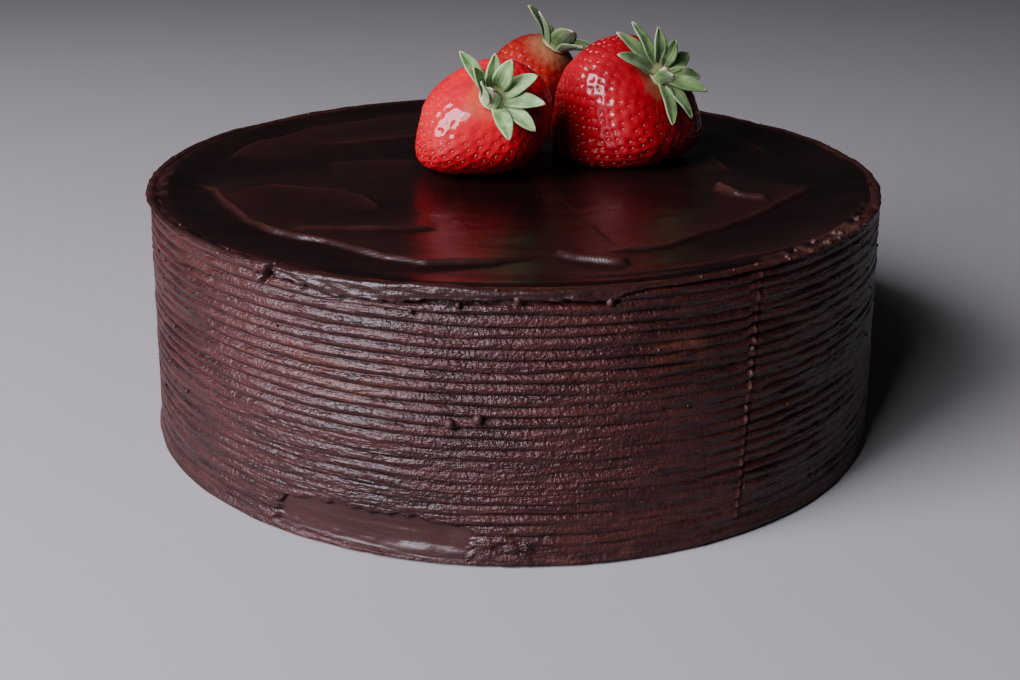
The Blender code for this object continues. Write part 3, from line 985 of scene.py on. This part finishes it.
def make_top():
    """Rows from the middle of the hidden underside, out to the lip, over the rim and in
    to the middle of the top."""
    low = lip_edge(degrees_round)
    rim = rim_level(degrees_round)
    rough = rough_rim(degrees_round)
    tear = bump_at(degrees_round, TEAR_ANGLE + 0.5, 0.5)
    flare = 0.0009 * np.clip(-np.cos(around), 0.0, 1.0) ** 6
    out = TOP_RADIUS + 0.0003 + flare + 0.00018 * line_noise(degrees_round / 1.7, 23, wrap=212)
    out = out - 0.0022 * tear + 0.0005 * rough * line_noise(degrees_round / 1.3, 28, wrap=277)
    rows = [round_points(radius, around, UNDERSIDE) for radius in (0.060, 0.104)]
    rows.append(round_points(TOP_RADIUS - 0.0012, around, low - 0.0002))
    rows += lip_rows(low, rim, out)
    rows += [round_points(out - inward, around, rim - down - torn * tear) for inward, down, torn in OVER_RIM]
    wall_rows = len(rows)
    edges = [np.zeros_like(around)] * wall_rows
    plates = [np.zeros_like(around)] * wall_rows
    for radius in TOP_RINGS:
        x, y = radius * np.cos(around), radius * np.sin(around)
        level, edge, plate = top_height(x, y)
        near_rim = eased((radius - RIM_BLEND) / 0.003)
        rows.append(np.stack([x, y, level * (1.0 - near_rim) + (rim - 0.0004) * near_rim], axis=-1))
        edges.append(edge * (1.0 - near_rim))
        plates.append(plate * (1.0 - near_rim))
    is_lip = np.zeros((len(rows), len(around)))
    is_lip[:wall_rows] = 1.0
    lumpy = rough * eased(0.3 + 1.2 * rim_lumps(degrees_round)) * np.ones_like(is_lip)
    lumpy[wall_rows + LUMPY_RINGS:] = 0.0
    # the burr and plate masks also place the painted highlight and the painted sheen of the top's finish
    masks = {"burr": np.array(edges), "lip": is_lip, "plate": np.array(plates), "lumpy": lumpy}
    middle = (0.0, 0.0, float(rows[-1][:, 2].mean()))
    return skin_mesh("icing_top", np.array(rows), (0.0, 0.0, UNDERSIDE), middle, masks)


top_mesh = make_top()

# %% [markdown]
# ## The icing's finish
#
# The icing is dark chocolate with much fat in it: nearly black where it is smooth, brown
# where it is rough, with a greasy sheen. The comb drags it into fine level streaks. Its
# streaks and grain are noise in the object's own space, stretched level, so that nothing
# slides or repeats. The masks made with the relief say where it is scraped or wiped, where
# shade is painted into the side's grooves, and where a highlight is painted on the top's
# burrs and a sheen on its plates.

# %% Icing on the side
DARK_COCOA = (0.0115, 0.0031, 0.0027)
MILK_COCOA = (0.0445, 0.0110, 0.0090)
THIN_COCOA = (0.0880, 0.0245, 0.0120)
BEAD_COCOA = (0.0800, 0.0300, 0.0240)
# painted shade: the near black colour that darkens the grooves
GROOVE_SHADE_COCOA = (0.0060, 0.0019, 0.0017)
WIPED_COCOA = (0.026, 0.0095, 0.0080)
ICING_GLOSS = 0.30


def side_icing():
    """Streaks and clouds mix a dark tone and a brown one. Shade is painted into the grooves
    as a darker colour; the icing is warmer where it is thin, and rougher in the grooves and at the foot."""
    icing = Finish("icing_combed")
    level_streaks = icing.noise(60.0, 5.0, 0.62, stretch=(1.0, 1.0, 9.0))
    hair_streaks = icing.noise(150.0, 2.0, stretch=(1.0, 1.0, 8.0))
    grain = icing.noise(1000.0, 2.0, 0.6)
    dabs = icing.noise(260.0, 2.0, stretch=(1.0, 1.0, 2.5))
    foot = 1.0 - icing.ease(icing.level(), 0.0015, 0.0065)
    clouds = icing.noise(22.0, 3.0)
    worn = icing.ease(icing.noise(34.0, 2.0, stretch=(1.0, 1.0, 2.2)), 0.64, 0.78)
    groove = icing.painted("groove")
    smear = icing.painted("smear")
    grainy = icing.painted("grainy")
    tone = icing.ease(level_streaks * 0.5 + clouds * 0.35 + grain * 0.15, 0.36, 0.64)
    colour = icing.blend(tone, DARK_COCOA, MILK_COCOA)
    uneven = icing.ease(level_streaks, 0.35, 0.60)
    colour = icing.blend(icing.painted("thin") * uneven * 0.8 + worn * 0.4, colour, THIN_COCOA)
    colour = icing.blend(icing.painted("bead") * 0.60, colour, BEAD_COCOA)
    # painted shade in the grooves
    colour = icing.blend(groove * 0.70, colour, GROOVE_SHADE_COCOA)
    colour = icing.blend(smear * 0.8, colour, WIPED_COCOA)
    rough = icing.ease(level_streaks, 0.30, 0.72) * 0.12 + 0.28 + grain * 0.06 + groove * 0.20
    rough = rough * (1.0 - smear) + smear * 0.30 + foot * 0.14
    height = hair_streaks * 0.6 + level_streaks * 0.3 + dabs * 0.7 + grain * (grainy * 0.4 + 0.45)
    icing.relief(height * (1.0 - smear * 0.85), 0.00085, 1.0)
    return icing.set(base_color=colour, roughness=rough, specular_ior_level=ICING_GLOSS)


# %% Icing on the top
SMOOTH_DARK = (0.0036, 0.0014, 0.0013)
SMOOTH_BROWN = (0.0085, 0.0027, 0.0022)
# painted sheen on the plates, and a painted highlight on the burrs
PLATE_SHEEN_COCOA = (0.0210, 0.0063, 0.0048)
BURR_HIGHLIGHT_COCOA = (0.0430, 0.0160, 0.0125)
LIP_COCOA = (0.022, 0.0072, 0.0058)
LUMP_COCOA = (0.055, 0.0210, 0.0155)


def top_icing():
    """Nearly black and smooth, with streaks across it. The lip and the lumps of the rough rim
    are browner, a painted sheen lightens the plates and a painted highlight the burrs, and
    the lip's folds and the lumps stand out."""
    icing = Finish("icing_spread")
    long_streaks = icing.noise(30.0, 5.0, 0.6, stretch=(1.0, 3.2, 1.0))
    grain = icing.noise(900.0, 2.0)
    clouds = icing.noise(18.0, 3.0)
    folds = icing.noise(150.0, 2.5, 0.55, stretch=(1.0, 1.0, 4.5))
    burr = icing.painted("burr")
    lip = icing.painted("lip")
    lumpy = icing.painted("lumpy")
    tone = icing.ease(clouds * 0.6 + long_streaks * 0.4, 0.35, 0.70)
    colour = icing.blend(tone, SMOOTH_DARK, SMOOTH_BROWN)
    # painted sheen: the plates lightened
    colour = icing.blend(icing.painted("plate") * 0.6, colour, PLATE_SHEEN_COCOA)
    # painted highlight along the burrs
    colour = icing.blend(burr * 0.55, colour, BURR_HIGHLIGHT_COCOA)
    colour = icing.blend(icing.ease(lip, 0.2, 0.8) * 0.8, colour, LIP_COCOA)
    colour = icing.blend(lumpy * 0.85, colour, LUMP_COCOA)
    rough = 0.27 + tone * 0.08 - burr * 0.04 + lumpy * 0.12 + lip * 0.08
    height = long_streaks * 0.4 + grain * (0.04 + 0.34 * lip + 0.08 * burr + 0.5 * lumpy) + folds * lip * 0.9
    icing.relief(height, 0.0010, 0.7)
    return icing.set(base_color=colour, roughness=rough, specular_ior_level=ICING_GLOSS)


new_piece("icing_side", side_mesh, side_icing(), "chocolate_icing", "cake")
new_piece("icing_top", top_mesh, top_icing(), "chocolate_icing", "cake")

# %% [markdown]
# ## Seeds and skin of the strawberries
#
# The seeds sit in small pits, in rows that wind round the fruit. A golden-angle spiral
# gives that packing: each seed is turned by the same odd angle from the one before, and
# moved along so that every seed has the same share of skin. The pits are pressed into the
# skin by distance, and each seed is a small drop lying in its pit.

# %% Spread the seeds
SEED_SPACING = 0.0033
# the share of a square on the spacing that each point has in close rows
CLOSE_PACKED = 0.86
GOLDEN = math.pi * (3.0 - math.sqrt(5.0))


def seed_places(fruit, seed):
    """Share of the length and angle of each seed, spaced evenly over the skin and closer
    towards the tip: the area so far is summed along the fruit and cut into equal shares."""
    share = np.linspace(0.045, 0.985, 400)
    girth = 2.0 * math.pi * fruit_radius(share, fruit["width"]) * (0.5 + 0.5 * fruit["flat"])
    slope = np.hypot(np.gradient(fruit_radius(share, fruit["width"]), share), fruit["length"])
    crowd = 1.0 + 0.5 * eased((share - 0.55) / 0.4)
    area = np.concatenate([[0.0], np.cumsum((girth * slope * crowd)[1:] * np.diff(share))])
    count = int(area[-1] / (CLOSE_PACKED * SEED_SPACING**2))
    rng = np.random.default_rng(seed)
    where = (np.arange(count) + 0.5) / count * area[-1]
    shares = np.interp(where, area, share) + rng.uniform(-0.004, 0.004, count)
    angles = np.arange(count) * GOLDEN + rng.uniform(-0.05, 0.05, count)
    return shares, angles % (2.0 * math.pi)


# %% Seeds as small drops
SEED_LENGTH = 0.0015
SEED_HALF_WIDTH = 0.00048
SEED_HALF_THICK = 0.00034
SEED_SEAT = 0.00044
SEED_RINGS = (0.12, 0.38, 0.66, 0.90)
SEED_SIDES = 6


def seed_mesh(name, seats, ahead, beside, seed):
    """Every seed is the same small drop, laid in its pit with its point towards the fruit's
    tip: its seat, plus a share of its length along it, of its width across and of its
    thickness outwards."""
    rng = np.random.default_rng(seed + 50)
    along = unit(ahead - seats)
    across = beside - seats
    across = unit(across - (across * along).sum(axis=1, keepdims=True) * along)
    out = np.cross(across, along)
    out *= np.sign((out * (seats - seats.mean(axis=0))).sum(axis=1, keepdims=True))
    across = np.cross(along, out)
    share, turn = (values.reshape(1, -1, 1) for values in round_grid(SEED_RINGS, SEED_SIDES))
    thick = np.sin(math.pi * share**0.85) ** 0.7
    size = rng.uniform(0.85, 1.15, (len(seats), 1, 1))
    seat, along, across, out = (vectors[:, None] for vectors in (seats - SEED_SEAT * out, along, across, out))
    lay = (share - 0.5) * SEED_LENGTH * size * along
    wide = thick * np.cos(turn) * SEED_HALF_WIDTH * across * size
    high = thick * np.sin(turn) * SEED_HALF_THICK * out
    half = 0.5 * SEED_LENGTH * along * size
    points = np.concatenate([seat + lay + wide + high, seat - half, seat + half], axis=1)
    mesh = closed_mesh(name, points, len(SEED_RINGS), SEED_SIDES, flipped=True)
    paint_points(mesh, "hue", [np.repeat(rng.uniform(0, 1, len(seats)), points.shape[1])])
    return mesh


# %% The pitted skin
PIT_WIDTH = 0.00085
DIMPLE_WIDTH = 0.0015
TIP_GAP = 0.004


def gap_squared(points, seeds):
    """The square of each point's distance to its nearest seed."""
    nearest = np.full(len(points), 1.0)
    for block in np.array_split(seeds, max(1, len(seeds) // 40)):
        gaps = ((points[:, None, :] - block[None]) ** 2).sum(axis=-1).min(axis=1)
        nearest = np.minimum(nearest, gaps)
    return nearest


def make_fruit(name, rows, columns, seed):
    """The skin with its pits, and its seeds. Each seed presses a narrow pit and a soft
    dimple, both bells of the distance to it; rows stand closer at the two ends."""
    fruit = FRUIT[name]
    even = np.linspace(0.0, 1.0, rows)
    spread = 0.55 * even + 0.45 * (0.5 - 0.5 * np.cos(math.pi * even))
    share = LEAFY_END + (1.0 - LEAFY_END - TIP_GAP) * spread
    share, angle = round_grid(share[::-1], columns)
    shares, angles = seed_places(fruit, seed)
    plain = straight_points(fruit, share, angle).reshape(-1, 3)
    nearest = gap_squared(plain, straight_points(fruit, shares, angles)).reshape(share.shape)
    pits = np.exp(-nearest / PIT_WIDTH**2)
    dimples = np.exp(-nearest / DIMPLE_WIDTH**2)
    wander = soft_noise(angle / (2 * math.pi) * 9, share * 6.0, seed + 5, wrap=9)
    out = 0.00035 * wander * np.sin(math.pi * share) + 0.00012 - 0.00030 * pits - 0.00026 * dimples
    grid = fruit_points(name, share, angle, out)
    ends = (fruit_end(name, 1.0), fruit_end(name, LEAFY_END))
    skin = skin_mesh("strawberry_" + name, grid, *ends, {"pit": pits, "along": share})
    seats = fruit_points(name, shares, angles)
    ahead = fruit_points(name, shares + 0.004, angles)
    beside = fruit_points(name, shares, angles + 0.01)
    return skin, seed_mesh("seeds_" + name, seats, ahead, beside, seed)


# %% [markdown]
# The skin is wet red over pale flesh. Light enters it a little, so it has some subsurface
# scattering. It is paler and more orange at the leafy end, where the sepals shaded it.

# %% Finish of the skin and the seeds
# name: ripe red, deeper red, the pale shoulder, and how far along the shoulder reaches
SKIN_COLOURS = {
    "left": ((0.42, 0.003, 0.011), (0.33, 0.002, 0.009), (0.33, 0.066, 0.026), 0.034),
    "right": ((0.26, 0.002, 0.008), (0.19, 0.001, 0.006), (0.18, 0.045, 0.019), 0.028),
    "back": ((0.25, 0.014, 0.007), (0.19, 0.006, 0.005), (0.24, 0.115, 0.050), 0.10),
}


def fruit_skin(name, ripe, deep, shoulder, pale_reach):
    """Blotches of two reds, paler towards the leafy end, with shade painted into the pits
    in the deeper red.
    """
    skin = Finish("strawberry_skin_" + name)
    blotch = skin.noise(70.0, 4.0, 0.55)
    fine = skin.noise(380.0, 2.0)
    side_noise = skin.noise(40.0, 2.0)
    colour = skin.blend(skin.ease(blotch, 0.35, 0.68), deep, ripe)
    pale = skin.painted("along") + side_noise * 0.06 + blotch * 0.03 - 0.045
    colour = skin.blend((1.0 - skin.ease(pale, 0.012, pale_reach)) * 0.85, colour, shoulder)
    # painted shade: the pits darkened towards the deeper red
    colour = skin.blend(skin.ease(skin.painted("pit"), 0.35, 0.95) * 0.25, colour, deep)
    skin.relief(fine * 0.6 + blotch * 0.4, 0.0006, 0.8)
    return skin.set(
        base_color=colour,
        roughness=0.40 + fine * 0.12,
        specular_ior_level=0.10,
        coat_weight=0.50,
        coat_roughness=0.06,
        subsurface_weight=0.18,
        subsurface_radius=(0.0045, 0.0012, 0.0008),
        subsurface_scale=1.0,
    )


def seed_finish():
    """Each seed has its own tone between two reds, with pale flecks."""
    husk = Finish("strawberry_seed")
    fleck = husk.noise(1500.0, 2.0)
    colour = husk.blend(husk.painted("hue"), (0.30, 0.050, 0.030), (0.26, 0.018, 0.014))
    colour = husk.blend(fleck * 0.15, colour, (0.45, 0.22, 0.12))
    husk.relief(fleck, 0.0001, 0.4)
    return husk.set(base_color=colour, roughness=0.50, specular_ior_level=0.3)


# %% Make the fruit
# name: rows, columns and the seed of its random numbers
SKIN_GRIDS = {"left": (120, 260, 1), "right": (130, 290, 2), "back": (100, 210, 3)}
husk = seed_finish()
for name, grid_size in SKIN_GRIDS.items():
    skin, drops = make_fruit(name, *grid_size)
    red = fruit_skin(name, *SKIN_COLOURS[name])
    new_piece("strawberry_" + name, skin, red, "strawberry_red", "berry_" + name)
    new_piece("seeds_" + name, drops, husk, "strawberry_red")

# %% [markdown]
# ## The leafy caps
#
# Each strawberry keeps its cap: pointed sepals round a small disc, with the stub of the
# stem. A sepal is a narrow leaf with a rib down its middle and raised edges, and it curls.
# It is worked out as a sheet (along and across), and Solidify gives it its thickness.

# %% Sizes of the sepals
# name: each sepal's angle round the cap, its lift, its length and its width
CAPS = {
    "left": [
        (20.0, 78.0, 0.0130, 0.0050), (60.0, 80.0, 0.0150, 0.0054), (98.0, 15.0, 0.0130, 0.0050),
        (128.0, 12.0, 0.0135, 0.0052), (155.0, 28.0, 0.0130, 0.0050), (192.0, 42.0, 0.0120, 0.0052),
        (236.0, 74.0, 0.0125, 0.0054), (272.0, 62.0, 0.0115, 0.0044), (305.0, 22.0, 0.0135, 0.0044),
        (335.0, 66.0, 0.0120, 0.0044),
    ],
    "right": [
        (36.0, 70.0, 0.0110, 0.0046), (76.0, 2.0, 0.0140, 0.0050), (106.0, 6.0, 0.0135, 0.0044),
        (136.0, 26.0, 0.0125, 0.0050), (165.0, 6.0, 0.0120, 0.0054), (196.0, 2.0, 0.0125, 0.0048),
        (226.0, 22.0, 0.0095, 0.0044), (257.0, 20.0, 0.0115, 0.0046), (283.0, 4.0, 0.0150, 0.0044),
        (308.0, 2.0, 0.0160, 0.0046), (334.0, 8.0, 0.0150, 0.0046),
    ],
    "back": [
        (32.0, 57.0, 0.0142, 0.0074), (62.0, 42.0, 0.0125, 0.0052), (100.0, 34.0, 0.0110, 0.0050),
        (142.0, 20.0, 0.0100, 0.0050), (190.0, 4.0, 0.0080, 0.0046), (242.0, 6.0, 0.0080, 0.0046),
        (288.0, 32.0, 0.0125, 0.0066), (322.0, 50.0, 0.0130, 0.0066),
    ],
}

# %% Form of a sepal
CAP_RADIUS = 0.0042
CAP_LIFT = 0.0002
SEPAL_DROOP = 30.0
SEPAL_ROWS = 16
SEPAL_COLUMNS = 9
CLAW_ROWS = 4
CLAW_START = 0.0013


def sepal_sheet(angle, lift, length, width, rng):
    """Grid of one sepal, and its two parameters. It starts flat and narrow near the stem,
    then its mid rib bends from steep to shallow, its half width swells to a third of the
    way and closes to a point, and its edges are raised and waved."""
    along = np.linspace(0.0, 1.0, SEPAL_ROWS)
    across = np.linspace(-1.0, 1.0, SEPAL_COLUMNS)
    pitch = np.radians(lift + SEPAL_DROOP * (0.5 - along))
    stride = length / (SEPAL_ROWS - 1)
    half = 0.54 * width * np.clip(np.sin(math.pi * (0.16 + 0.84 * along) ** 0.96), 0.0, 1.0) ** 0.66
    half[-1] = 0.00008
    raised = 0.22 * half[:, None] * np.abs(across) ** 1.5
    wave = 0.00022 * np.sin(along * 9.0 + rng.uniform(0, 6))[:, None] * across * (half / half.max())[:, None]
    crease = 0.00012 * bump_at(across, 0.0, 0.12)
    ribs = 0.00004 * np.cos(across * 14.0)
    lifted = raised + wave - crease - ribs
    steep, flat = np.sin(pitch), np.cos(pitch)
    outward = CAP_RADIUS * 0.9 + (running_sum(flat) * stride)[:, None] - lifted * steep[:, None]
    upward = (running_sum(steep) * stride)[:, None] + lifted * flat[:, None]
    swing = rng.uniform(-0.0007, 0.0007) * along**2
    sideways = half[:, None] * across + swing[:, None]
    claw = np.linspace(0.0, 1.0, CLAW_ROWS, endpoint=False)[:, None]
    low = rng.uniform(0.0002, 0.0008)
    outward = np.vstack([CLAW_START + (outward[:1] - CLAW_START) * claw, outward])
    upward = np.vstack([upward[:1] * claw + low * (1.0 - claw), upward])
    sideways = np.vstack([sideways[:1] * (0.45 + 0.55 * claw), sideways])
    along = np.concatenate([np.zeros(CLAW_ROWS), along])
    c, s = math.cos(angle), math.sin(angle)
    grid = np.stack([outward * c - sideways * s, outward * s + sideways * c, upward + CAP_LIFT], axis=-1)
    return grid, *np.broadcast_arrays(along[:, None], across)


def cap_disc():
    """A small dome, lobed at its edge, that the sepals grow from."""
    radius, angle = round_grid(np.linspace(0.0006, CAP_RADIUS * 1.06, 8), 36)
    height = 0.0007 * (1.0 - (radius / CAP_RADIUS) ** 2) + 0.0001 * np.sin(9 * angle) * radius / CAP_RADIUS
    return round_points(radius, angle, height + CAP_LIFT)


# %% Join a cap's sheets
HIGHEST_TIP = 0.1204
DISC_PAINT = -0.3


def on_cap(name, points):
    """Points given round a cap's axis, moved to where the cap sits on its fruit."""
    fruit = FRUIT[name]
    turned = facing(fruit["cap_turn"], fruit["cap_rise"])
    return (points + (0.0, 0.0, fruit["cap_gap"])) @ turned + fruit_end(name, LEAFY_END)


def cap_mesh(name, seed):
    """All of a cap's sheets in one open mesh: the sepals, then the disc with a face that
    closes its middle. The disc is painted below 0, so that a finish can tell it apart."""
    rng = np.random.default_rng(seed)
    points, faces, along, across = [], [], [], []
    rows = SEPAL_ROWS + CLAW_ROWS
    index = np.arange(rows * SEPAL_COLUMNS).reshape(rows, SEPAL_COLUMNS)
    quads = np.stack([index[:-1, :-1], index[1:, :-1], index[1:, 1:], index[:-1, 1:]], axis=-1).reshape(-1, 4)
    for number, (angle, lift, length, width) in enumerate(CAPS[name]):
        grid, grid_along, grid_across = sepal_sheet(math.radians(angle), lift, length, width, rng)
        points.append(grid.reshape(-1, 3))
        along.append(grid_along.ravel())
        across.append(grid_across.ravel())
        faces += (quads + number * index.size).tolist()
    disc = cap_disc()
    rows, columns, _ = disc.shape
    start = len(CAPS[name]) * index.size
    points.append(disc.reshape(-1, 3))
    along.append(np.full(rows * columns, DISC_PAINT))
    across.append(np.zeros(rows * columns))
    faces += (closed_faces(rows, columns, flipped=True)[0] + start).tolist()
    faces.append(list(range(start, start + columns)))
    placed = on_cap(name, np.vstack(points))
    placed[:, 2] = np.minimum(placed[:, 2], HIGHEST_TIP)
    mesh = bpy.data.meshes.new("leafy_cap_" + name)
    mesh.from_pydata(placed.tolist(), [], faces)
    paint_points(mesh, "along", along)
    paint_points(mesh, "across", across)
    mesh.shade_smooth()
    return mesh


# %% The stub of the stem
STALK_LEVELS = (0.000075, 0.000375, 0.00105, 0.00195, 0.00285, 0.003375, 0.003525)


def stalk_mesh(name):
    """A short tube, ribbed, flared at its foot, bent a little and cut off flat."""
    height, angle = round_grid(STALK_LEVELS, 24)
    radius = 0.0011 + 0.0007 * np.exp(-height / 0.0006) + 0.00008 * np.cos(6 * angle)
    radius = radius - 0.0003 * eased((height - 0.0032) / 0.0003)
    grid = round_points(radius, angle, height + 0.0004)
    grid[..., 0] += 0.0006 * (height / 0.0035) ** 2
    low = on_cap(name, np.array([0.0, 0.0, 0.0002]))
    high = on_cap(name, np.array([0.0006, 0.0, 0.0038]))
    return skin_mesh("stalk_" + name, on_cap(name, grid), low, high)


# %% Finish of the leaves
# name: the green and the paler green
LEAF_COLOURS = {
    "left": ((0.095, 0.205, 0.055), (0.250, 0.385, 0.165)),
    "right": ((0.036, 0.095, 0.020), (0.125, 0.215, 0.070)),
    "back": ((0.026, 0.075, 0.014), (0.080, 0.145, 0.040)),
}
MARGIN_GREEN = (0.38, 0.43, 0.26)
CLAW_GREEN = (0.26, 0.26, 0.10)
DRY_TIP = (0.42, 0.37, 0.24)


def leaf_finish(name, green, pale):
    """Mottled green with veins along it, a paler margin, claw and disc, and a dry tip."""
    leaf = Finish("leaf_" + name)
    along = leaf.painted("along")
    across = leaf.painted("across")
    veins = leaf.maths("SINE", across * 16.0)
    mottle = leaf.noise(160.0, 4.0, 0.6)
    down = leaf.noise(1800.0, 2.0, 0.6)
    margin = leaf.ease(leaf.maths("ABSOLUTE", across), 0.72, 1.0)
    colour = leaf.blend(leaf.ease(mottle + veins * 0.02, 0.36, 0.62), green, pale)
    colour = leaf.blend(margin * 0.12, colour, MARGIN_GREEN)
    colour = leaf.blend((1.0 - leaf.ease(along, -0.15, 0.16)) * 0.7, colour, CLAW_GREEN)
    colour = leaf.blend(leaf.ease(along, 0.88, 1.0) * 0.6, colour, DRY_TIP)
    leaf.relief(veins * 0.12 + mottle * 0.6 + down * 0.3, 0.00022, 0.7)
    return leaf.set(
        base_color=colour,
        roughness=0.55,
        specular_ior_level=0.35,
        subsurface_weight=0.12,
        subsurface_radius=(0.0010, 0.0014, 0.0005),
        subsurface_scale=1.0,
        sheen_weight=0.25,
        sheen_roughness=0.4,
    )


def stalk_finish():
    """Pale straw, streaked."""
    stalk = Finish("stalk")
    streak = stalk.noise(500.0, 3.0, 0.6)
    stalk.relief(streak, 0.0002, 0.5)
    colour = stalk.blend(streak, (0.30, 0.27, 0.12), (0.52, 0.44, 0.24))
    return stalk.set(base_color=colour, roughness=0.6)


# %% Make the caps
LEAF_THICKNESS = 0.00045
FIRST_CAP_SEED = 3
straw = stalk_finish()
for seed, name in enumerate(CAPS, FIRST_CAP_SEED):
    green = leaf_finish(name, *LEAF_COLOURS[name])
    cap = new_piece("leafy_cap_" + name, cap_mesh(name, seed), green, "sepal_green", "cap_" + name)
    thick = cap.modifiers.new("leaf_thickness", "SOLIDIFY")
    thick.thickness = LEAF_THICKNESS
    thick.offset = 0.0
    new_piece("stalk_" + name, stalk_mesh(name), straw, "sepal_green")

# %% [markdown]
# ## Crumbs
#
# Soft icing sheds small bits as it is scraped. A few lie along the rim, more and larger
# ones where it is rough, and the finest stick to the side. Each is a small ball whose
# points are pushed in and out at random. Ten are listed where the picture shows one;
# the first two of them are lumps on the front, smoother and larger than the rest.

# %% Scatter the crumbs
RIM_CRUMBS = 16
ROUGH_CRUMBS = 13
SIDE_CRUMBS = 60
FINE_SIZES = (0.0003, 0.0007)
COARSE_SIZES = (0.0006, 0.0014)
# listed one by one: angle, height and size
BITS = [
    (-98.1, 0.0398, 0.0015), (-94.5, 0.0414, 0.0015), (-57.0, 0.0535, 0.0009), (-103.0, 0.0690, 0.0008),
    (-97.0, 0.0712, 0.0009), (-89.6, 0.0728, 0.0011), (-78.0, 0.0716, 0.0013), (-93.0, 0.0056, 0.0014),
    (-89.5, 0.0030, 0.0012), (-87.2, 0.0016, 0.0010),
]
SMOOTH_BITS = 2


def crumb_places():
    """Centre and size of each crumb: on the rim, on the rough stretch at the right of it,
    on the side, and the listed ones, which stay inside the foot's width."""
    rng = np.random.default_rng(77)
    turn = np.concatenate([rng.uniform(-180.0, 180.0, RIM_CRUMBS), rng.normal(-36.0, 9.0, ROUGH_CRUMBS)])
    inward = np.concatenate([rng.uniform(0.0004, 0.0030, RIM_CRUMBS), rng.uniform(0.0, 0.0045, ROUGH_CRUMBS)])
    sizes = [rng.uniform(*FINE_SIZES, RIM_CRUMBS), rng.uniform(*COARSE_SIZES, ROUGH_CRUMBS)]
    level = rim_level(turn) - 0.0001 - 0.10 * inward
    centres = [round_points(TOP_RADIUS + 0.0002 - inward, np.radians(turn), level)]
    turn = rng.uniform(-180.0, 180.0, SIDE_CRUMBS)
    level = rng.uniform(0.006, 0.070, SIDE_CRUMBS)
    sizes.append(rng.uniform(*FINE_SIZES, SIDE_CRUMBS))
    centres.append(round_points(side_radius(level) - 0.0001, np.radians(turn), level))
    turn, level, size = np.array(BITS).T
    radius = np.minimum(side_radius(level) + 0.15 * size, BASE_RADIUS + 0.0006 - 1.1 * size)
    centres.append(round_points(radius, np.radians(turn), level))
    return np.vstack(centres), np.concatenate([*sizes, size])


def crumb_mesh():
    """A ball of 5 rings of 8 points for each crumb, each point pushed in or out."""
    centres, sizes = crumb_places()
    rng = np.random.default_rng(78)
    tilt, turn = round_grid(np.linspace(-1.2, 1.2, 5), 8)
    ball = round_points(np.cos(tilt), turn, np.sin(tilt)).reshape(-1, 3)
    ball = np.vstack([ball, (0.0, 0.0, -1.0), (0.0, 0.0, 1.0)])
    push = rng.uniform(0.64, 1.16, (len(centres), len(ball), 1))
    lumps = slice(-len(BITS), SMOOTH_BITS - len(BITS))
    push[lumps] = rng.uniform(0.94, 1.05, (SMOOTH_BITS, len(ball), 1))
    points = centres[:, None] + ball * push * sizes[:, None, None]
    return closed_mesh("icing_crumbs", points, *tilt.shape)


def crumb_finish():
    """Dry icing: dull, with coarse grain."""
    crumb = Finish("icing_crumb")
    tone = crumb.noise(500.0, 3.0)
    colour = crumb.blend(tone, (0.012, 0.004, 0.003), (0.045, 0.015, 0.010))
    crumb.relief(crumb.noise(1600.0, 3.0), 0.0004, 0.7)
    return crumb.set(base_color=colour, roughness=0.55, specular_ior_level=0.3)


new_piece("icing_crumbs", crumb_mesh(), crumb_finish(), "chocolate_icing")
